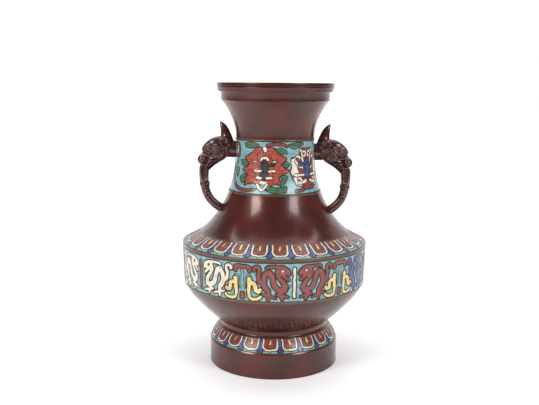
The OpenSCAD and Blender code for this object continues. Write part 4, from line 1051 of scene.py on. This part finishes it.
# %% A helper that starts a node group with its sockets
def new_group(name, inputs, outputs):
    """An empty shader node group. Inputs and outputs are lists of (name, kind, default)."""
    group = bpy.data.node_groups.new(name, "ShaderNodeTree")
    for in_out, sockets in (("INPUT", inputs), ("OUTPUT", outputs)):
        for label, kind, value in sockets:
            socket = group.interface.new_socket(label, in_out=in_out, socket_type=kind)
            if value is not None:
                socket.default_value = value
    start = group.nodes.new("NodeGroupInput")
    end = group.nodes.new("NodeGroupOutput")
    return group, start, end


FLOAT, COLOUR, VECTOR = "NodeSocketFloat", "NodeSocketColor", "NodeSocketVector"


def add_noise(tree, scale, detail=4.0, roughness=0.55, place=None):
    """A noise texture in the object's own space."""
    node = tree.nodes.new("ShaderNodeTexNoise")
    node.inputs["Detail"].default_value = detail
    node.inputs["Roughness"].default_value = roughness
    if isinstance(scale, (int, float)):
        node.inputs["Scale"].default_value = scale
    else:
        tree.links.new(scale, node.inputs["Scale"])
    if place is not None:
        tree.links.new(place, node.inputs["Vector"])
    return node


def add_range(tree, value, low, high, out_low=0.0, out_high=1.0):
    """Stretches a value from one range to another, and keeps it inside."""
    node = tree.nodes.new("ShaderNodeMapRange")
    node.inputs["From Min"].default_value = low
    node.inputs["From Max"].default_value = high
    node.inputs["To Min"].default_value = out_low
    node.inputs["To Max"].default_value = out_high
    tree.links.new(value, node.inputs["Value"])
    return node.outputs["Result"]


def add_mix(tree, share, first, second):
    """Mixes two colours. Each is a socket or a plain colour."""
    node = tree.nodes.new("ShaderNodeMix")
    node.data_type = "RGBA"
    tree.links.new(share, node.inputs["Factor"])
    for value, index in ((first, 6), (second, 7)):
        if isinstance(value, tuple):
            node.inputs[index].default_value = value
        else:
            tree.links.new(value, node.inputs[index])
    return node.outputs[2]


# %% [markdown]
# The patina group mixes three browns: large clouds show where the chemicals of the
# finish pooled, and fine specks break them up. Its mask also changes the roughness, since
# darker crusts are duller than the thin red skin over the metal. The turned castings carry
# a number that is high on their rims and beads, and there a painted highlight line shows.

# %% The cloudy patina of the bronze
patina, start, end = new_group(
    "cloudy_patina",
    [("Thin", COLOUR, None), ("Deep", COLOUR, None), ("Crust", COLOUR, None),
     ("Highlight colour", COLOUR, None), ("Rim highlight", FLOAT, 0.0),
     ("Cloud size", FLOAT, 60.0), ("Gloss", FLOAT, 0.2), ("Dull", FLOAT, 0.4)],
    [("Color", COLOUR, None), ("Roughness", FLOAT, None), ("Normal", VECTOR, None)])
where = patina.nodes.new("ShaderNodeTexCoord").outputs["Object"]
clouds = add_noise(patina, start.outputs["Cloud size"], 5.0, 0.6, where)
specks = add_noise(patina, 900.0, 3.0, 0.7, where)
streaks = add_noise(patina, 28.0, 6.0, 0.7, where)
cloud_share = add_range(patina, clouds.outputs["Fac"], 0.38, 0.62)
crust_share = add_range(patina, specks.outputs["Fac"], 0.62, 0.75, 0.0, 0.3)
streak_share = add_range(patina, streaks.outputs["Fac"], 0.42, 0.66)
base = add_mix(patina, cloud_share, start.outputs["Thin"], start.outputs["Deep"])
skin = add_mix(patina, crust_share, base, start.outputs["Crust"])
# Painted highlight: where the rim share is high, broken up by the specks, a lighter brown is painted
# over the patina
highlight_break = add_range(patina, specks.outputs["Fac"], 0.3, 0.6, 0.45, 1.0)
highlight_share = patina.nodes.new("ShaderNodeMath")
highlight_share.operation = "MULTIPLY"
patina.links.new(start.outputs["Rim highlight"], highlight_share.inputs[0])
patina.links.new(highlight_break, highlight_share.inputs[1])
highlit_skin = add_mix(patina, highlight_share.outputs[0], skin, start.outputs["Highlight colour"])
patina.links.new(highlit_skin, end.inputs["Color"])
gloss_mix = patina.nodes.new("ShaderNodeMix")
patina.links.new(streak_share, gloss_mix.inputs["Factor"])
patina.links.new(start.outputs["Gloss"], gloss_mix.inputs["A"])
patina.links.new(start.outputs["Dull"], gloss_mix.inputs["B"])
patina.links.new(gloss_mix.outputs["Result"], end.inputs["Roughness"])
ripple = add_noise(patina, 55.0, 2.0, 0.5, where)
pits = add_noise(patina, 1400.0, 2.0, 0.6, where)
height = patina.nodes.new("ShaderNodeMath")
height.operation = "MULTIPLY_ADD"
height.inputs[1].default_value = 0.035
patina.links.new(pits.outputs["Fac"], height.inputs[0])
patina.links.new(ripple.outputs["Fac"], height.inputs[2])
bump = patina.nodes.new("ShaderNodeBump")
bump.inputs["Strength"].default_value = 0.35
bump.inputs["Distance"].default_value = 0.0012
patina.links.new(height.outputs[0], bump.inputs["Height"])
patina.links.new(bump.outputs["Normal"], end.inputs["Normal"])
print("patina group has", len(patina.nodes), "nodes")

# %% [markdown]
# Enamel is ground glass melted into its cell. It keeps clouds where the powder was
# uneven, and after polishing small burst bubbles stay as dark pits. Grime in the pits and
# a little staining make the colours old.

# %% The clouds, stains and pits of the enamel
melt, start, end = new_group(
    "melted_glass",
    [("Glass", COLOUR, None), ("Cloud", COLOUR, None), ("Stain", COLOUR, None),
     ("Stain amount", FLOAT, 0.5)],
    [("Color", COLOUR, None), ("Roughness", FLOAT, None), ("Normal", VECTOR, None)])
where = melt.nodes.new("ShaderNodeTexCoord").outputs["Object"]
clouds = add_noise(melt, 260.0, 4.0, 0.65, where)
stains = add_noise(melt, 75.0, 5.0, 0.7, where)
cloud_share = add_range(melt, clouds.outputs["Fac"], 0.4, 0.66)
stain_share = add_range(melt, stains.outputs["Fac"], 0.5, 0.78)
amount = melt.nodes.new("ShaderNodeMath")
amount.operation = "MULTIPLY"
melt.links.new(stain_share, amount.inputs[0])
melt.links.new(start.outputs["Stain amount"], amount.inputs[1])
bubbles = melt.nodes.new("ShaderNodeTexVoronoi")
bubbles.inputs["Scale"].default_value = 620.0
melt.links.new(where, bubbles.inputs["Vector"])
pit_share = add_range(melt, bubbles.outputs["Distance"], 0.14, 0.26, 1.0, 0.0)
sparse = add_noise(melt, 180.0, 2.0, 0.5, where)
sparse_share = add_range(melt, sparse.outputs["Fac"], 0.47, 0.55)
pit = melt.nodes.new("ShaderNodeMath")
pit.operation = "MULTIPLY"
melt.links.new(pit_share, pit.inputs[0])
melt.links.new(sparse_share, pit.inputs[1])
glass = add_mix(melt, cloud_share, start.outputs["Glass"], start.outputs["Cloud"])
stained = add_mix(melt, amount.outputs[0], glass, start.outputs["Stain"])
pitted = add_mix(melt, pit.outputs[0], stained, (0.05, 0.035, 0.03, 1))
melt.links.new(pitted, end.inputs["Color"])
melt.links.new(add_range(melt, clouds.outputs["Fac"], 0.3, 0.7, 0.2, 0.42), end.inputs["Roughness"])
dent = melt.nodes.new("ShaderNodeMath")
dent.operation = "MULTIPLY_ADD"
dent.inputs[1].default_value = -1.2
melt.links.new(pit.outputs[0], dent.inputs[0])
melt.links.new(clouds.outputs["Fac"], dent.inputs[2])
bump = melt.nodes.new("ShaderNodeBump")
bump.inputs["Strength"].default_value = 0.3
bump.inputs["Distance"].default_value = 0.0004
melt.links.new(dent.outputs[0], bump.inputs["Height"])
melt.links.new(bump.outputs["Normal"], end.inputs["Normal"])
print("enamel group has", len(melt.nodes), "nodes")


# %% A helper that turns a colour as it is seen into the linear one that shaders use
def seen(red, green, blue):
    """A colour from 0 to 255 as a screen shows it, as linear RGBA."""
    return tuple((c / 255 / 12.92 if c / 255 <= 0.04045 else ((c / 255 + 0.055) / 1.055) ** 2.4)
                 for c in (red, green, blue)) + (1.0,)


def finish_from(group, name, inputs, metallic, coat):
    """A material whose group drives colour, roughness and normal."""
    material = bpy.data.materials.new(name)
    material.use_nodes = True
    tree = material.node_tree
    shader = tree.nodes["Principled BSDF"]
    shader.inputs["Metallic"].default_value = metallic
    shader.inputs["Coat Weight"].default_value = coat
    shader.inputs["Coat Roughness"].default_value = 0.12
    effect = tree.nodes.new("ShaderNodeGroup")
    effect.node_tree = group
    for label, value in inputs.items():
        effect.inputs[label].default_value = value
    # Painted highlight: the share stored on the turned castings paints lighter highlight lines on
    # their rims and beads
    if "Rim highlight" in effect.inputs:
        highlight_attribute = tree.nodes.new("ShaderNodeAttribute")
        highlight_attribute.attribute_name = "rim_highlight"
        tree.links.new(highlight_attribute.outputs["Fac"], effect.inputs["Rim highlight"])
    tree.links.new(effect.outputs["Color"], shader.inputs["Base Color"])
    tree.links.new(effect.outputs["Roughness"], shader.inputs["Roughness"])
    tree.links.new(effect.outputs["Normal"], shader.inputs["Normal"])
    return material


# %% [markdown]
# ## The finishes
# The body is red-brown and glossy, the handles are a darker brown, and the cell walls are
# a duller olive brown. Three metal finishes and eight enamels cover the vase.

# %% Make the metal finishes
metal = {
    # The fourth brown of each metal is the lighter colour of the painted highlight lines on rims and
    # beads
    "bronze": finish_from(patina, "red_brown_bronze", {
        "Thin": seen(88, 27, 18), "Deep": seen(60, 25, 20), "Crust": seen(44, 23, 19),
        "Highlight colour": seen(112, 88, 66), "Cloud size": 26.0, "Gloss": 0.22, "Dull": 0.34}, 0.25, 0.4),
    "handle_bronze": finish_from(patina, "black_brown_bronze", {
        "Thin": seen(84, 36, 27), "Deep": seen(56, 27, 22), "Crust": seen(38, 21, 18),
        "Highlight colour": seen(110, 80, 66), "Cloud size": 90.0, "Gloss": 0.14, "Dull": 0.26}, 0.3, 0.8),
    "cell_metal": finish_from(patina, "rubbed_wall_bronze", {
        "Thin": seen(74, 60, 46), "Deep": seen(50, 39, 32), "Crust": seen(38, 30, 26),
        "Highlight colour": seen(112, 88, 66), "Cloud size": 160.0, "Gloss": 0.32, "Dull": 0.5}, 0.4, 0.0),
}
print("metals:", sorted(metal))

# %% Make the enamel finishes
ENAMELS = {
    "enamel_turquoise": ((110, 164, 170), (140, 184, 188), (104, 120, 106), 0.7),
    "enamel_red": ((156, 62, 50), (184, 92, 74), (110, 52, 46), 0.5),
    "enamel_maroon": ((130, 58, 54), (148, 78, 70), (92, 44, 42), 0.5),
    "enamel_white": ((228, 216, 198), (238, 230, 216), (184, 156, 120), 0.5),
    "enamel_blue": ((50, 58, 112), (84, 98, 152), (40, 40, 70), 0.4),
    "enamel_black": ((44, 36, 40), (66, 56, 58), (30, 26, 28), 0.4),
    "enamel_green": ((66, 104, 78), (92, 130, 100), (58, 74, 62), 0.5),
    "enamel_yellow": ((232, 202, 124), (240, 218, 160), (178, 128, 62), 0.5),
}
glass = {}
for name, (base, cloud, stain, amount) in ENAMELS.items():
    glass[name] = finish_from(melt, name + "_glass", {
        "Glass": seen(*base), "Cloud": seen(*cloud), "Stain": seen(*stain),
        "Stain amount": amount}, 0.0, 0.35)
finishes = {**metal, **glass}
print(len(finishes), "finishes")

# %% [markdown]
# ## Giving each piece its finish
# A new piece takes the finish of its record slot. The CAD nodes that are still shown,
# such as the pins inside the wall, take one of the metals.

# %% Assign the materials
for name, piece in made.items():
    piece.data.materials.clear()
    piece.data.materials.append(finishes[FINISH_OF.get(name, piece["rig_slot"])])
for name, node in frame["nodes"].items():
    if node.hide_render:
        continue
    colour = name.rsplit("_", 1)[-1]
    if "enamel" in name:
        finish = finishes["enamel_" + colour]
    elif "cell_walls" in name:
        finish = finishes["cell_metal"]
    elif "handle" in name or "plate" in name:
        finish = finishes["handle_bronze"]
    else:
        finish = finishes["bronze"]
    node.data.materials.clear()
    node.data.materials.append(finish)
print(len(made), "new pieces have their finish")

# %% [markdown]
# ## Floor and backdrop
# One sheet runs flat under the vase and sweeps up behind it, as the paper in a
# studio does, so no horizon line shows from the front. It is part of the stage and not of the object.

# %% Make the sweep of white paper
SWEEP_WIDTH, SWEEP_FRONT, SWEEP_BACK = 6.0, 1.4, 1.5   # metres
SWEEP_BEND, SWEEP_TOP = 0.9, 3.2
bend = [(SWEEP_BACK + SWEEP_BEND * math.sin(a), SWEEP_BEND * (1 - math.cos(a)))
        for a in np.linspace(0, math.pi / 2, 25)]
sweep_line = [(-SWEEP_FRONT, 0.0)] + bend + [(SWEEP_BACK + SWEEP_BEND, SWEEP_TOP)]
sheet = bpy.data.meshes.new("paper_sweep")
sheet.from_pydata([(s * SWEEP_WIDTH / 2, y, z) for y, z in sweep_line for s in (-1, 1)], [],
                  [(2 * i, 2 * i + 1, 2 * i + 3, 2 * i + 2) for i in range(len(sweep_line) - 1)])
sheet.polygons.foreach_set("use_smooth", [True] * len(sheet.polygons))
paper = bpy.data.objects.new("paper_sweep", sheet)
bpy.context.scene.collection.objects.link(paper)
PAPER_GLOW = 0.2       # light that the paper adds, as if lit from behind
paper_finish = bpy.data.materials.new("white_paper")
paper_finish.use_nodes = True
paper_shader = paper_finish.node_tree.nodes["Principled BSDF"]
paper_shader.inputs["Base Color"].default_value = (0.93, 0.93, 0.93, 1)
paper_shader.inputs["Roughness"].default_value = 0.75
paper_shader.inputs["Specular IOR Level"].default_value = 0.25
paper_shader.inputs["Emission Color"].default_value = (1, 1, 1, 1)
paper_shader.inputs["Emission Strength"].default_value = PAPER_GLOW
sheet.materials.append(paper_finish)
print("paper sweep is", SWEEP_WIDTH, "m wide")

# %% [markdown]
# ## Lights
# Two tall softboxes stand in front, left and right, and draw the upright streaks that
# show how round the glossy bronze is. Two lights from above whiten the paper. The
# room in front is left dark, since bronze only looks deep when it mirrors something dark.

# %% Place the softboxes and the overhead light
def softbox(name, azimuth, distance, height, width, tall, power, aim=(0, 0, 0.15)):
    """An area light on a circle round the vase. Azimuth 0 is in front, 90 on the right."""
    light = bpy.data.lights.new(name, "AREA")
    light.shape = "RECTANGLE"
    light.size = width
    light.size_y = tall
    light.energy = power
    lamp = bpy.data.objects.new(name, light)
    a = math.radians(azimuth)
    lamp.location = (distance * math.sin(a), -distance * math.cos(a), height)
    lamp.rotation_mode = "QUATERNION"
    lamp.rotation_quaternion = (Vector(aim) - lamp.location).to_track_quat("-Z", "Y")
    bpy.context.scene.collection.objects.link(lamp)
    return lamp


softbox("softbox_left", -48, 1.4, 0.95, 0.5, 0.9, 14)
softbox("softbox_right", 50, 1.4, 0.95, 0.5, 0.9, 12)
softbox("overhead", 180, 0.3, 2.2, 2.0, 1.4, 10)
softbox("paper_light", 180, 0.4, 1.9, 3.0, 0.8, 27, aim=(0, 2.4, 0.6))
ROOM_LIGHT = 0.2       # strength of the dim room around the lights
world = bpy.data.worlds.new("studio_room")
bpy.context.scene.world = world
world.use_nodes = True
world.node_tree.nodes["Background"].inputs["Color"].default_value = (1.0, 0.96, 0.92, 1)
world.node_tree.nodes["Background"].inputs["Strength"].default_value = ROOM_LIGHT
bpy.context.scene.view_settings.view_transform = "Standard"

# %% [markdown]
# ## Camera
# A normal lens stands a little above the belly and looks slightly down, so the top of
# the lip shows as a thin ellipse. Its roll of half a degree is that of a hand-held tripod head.

# %% Place the camera
CAMERA_PLACE = (0.0, -0.8095, 0.3038)      # metres
CAMERA_YAW, CAMERA_DOWN, CAMERA_ROLL = 0.392, 9.02, 0.455   # degrees
lens = bpy.data.cameras.new("camera")
lens.sensor_width = 36
lens.lens = 49.96
lens.clip_start = 0.05
camera = bpy.data.objects.new("camera", lens)
turn = (Matrix.Rotation(math.radians(CAMERA_YAW), 4, "Z")
        @ Matrix.Rotation(math.radians(90 - CAMERA_DOWN), 4, "X")
        @ Matrix.Rotation(math.radians(CAMERA_ROLL), 4, "Z"))
camera.matrix_world = Matrix.Translation(CAMERA_PLACE) @ turn
bpy.context.scene.collection.objects.link(camera)
bpy.context.scene.camera = camera
print("camera at", CAMERA_PLACE)
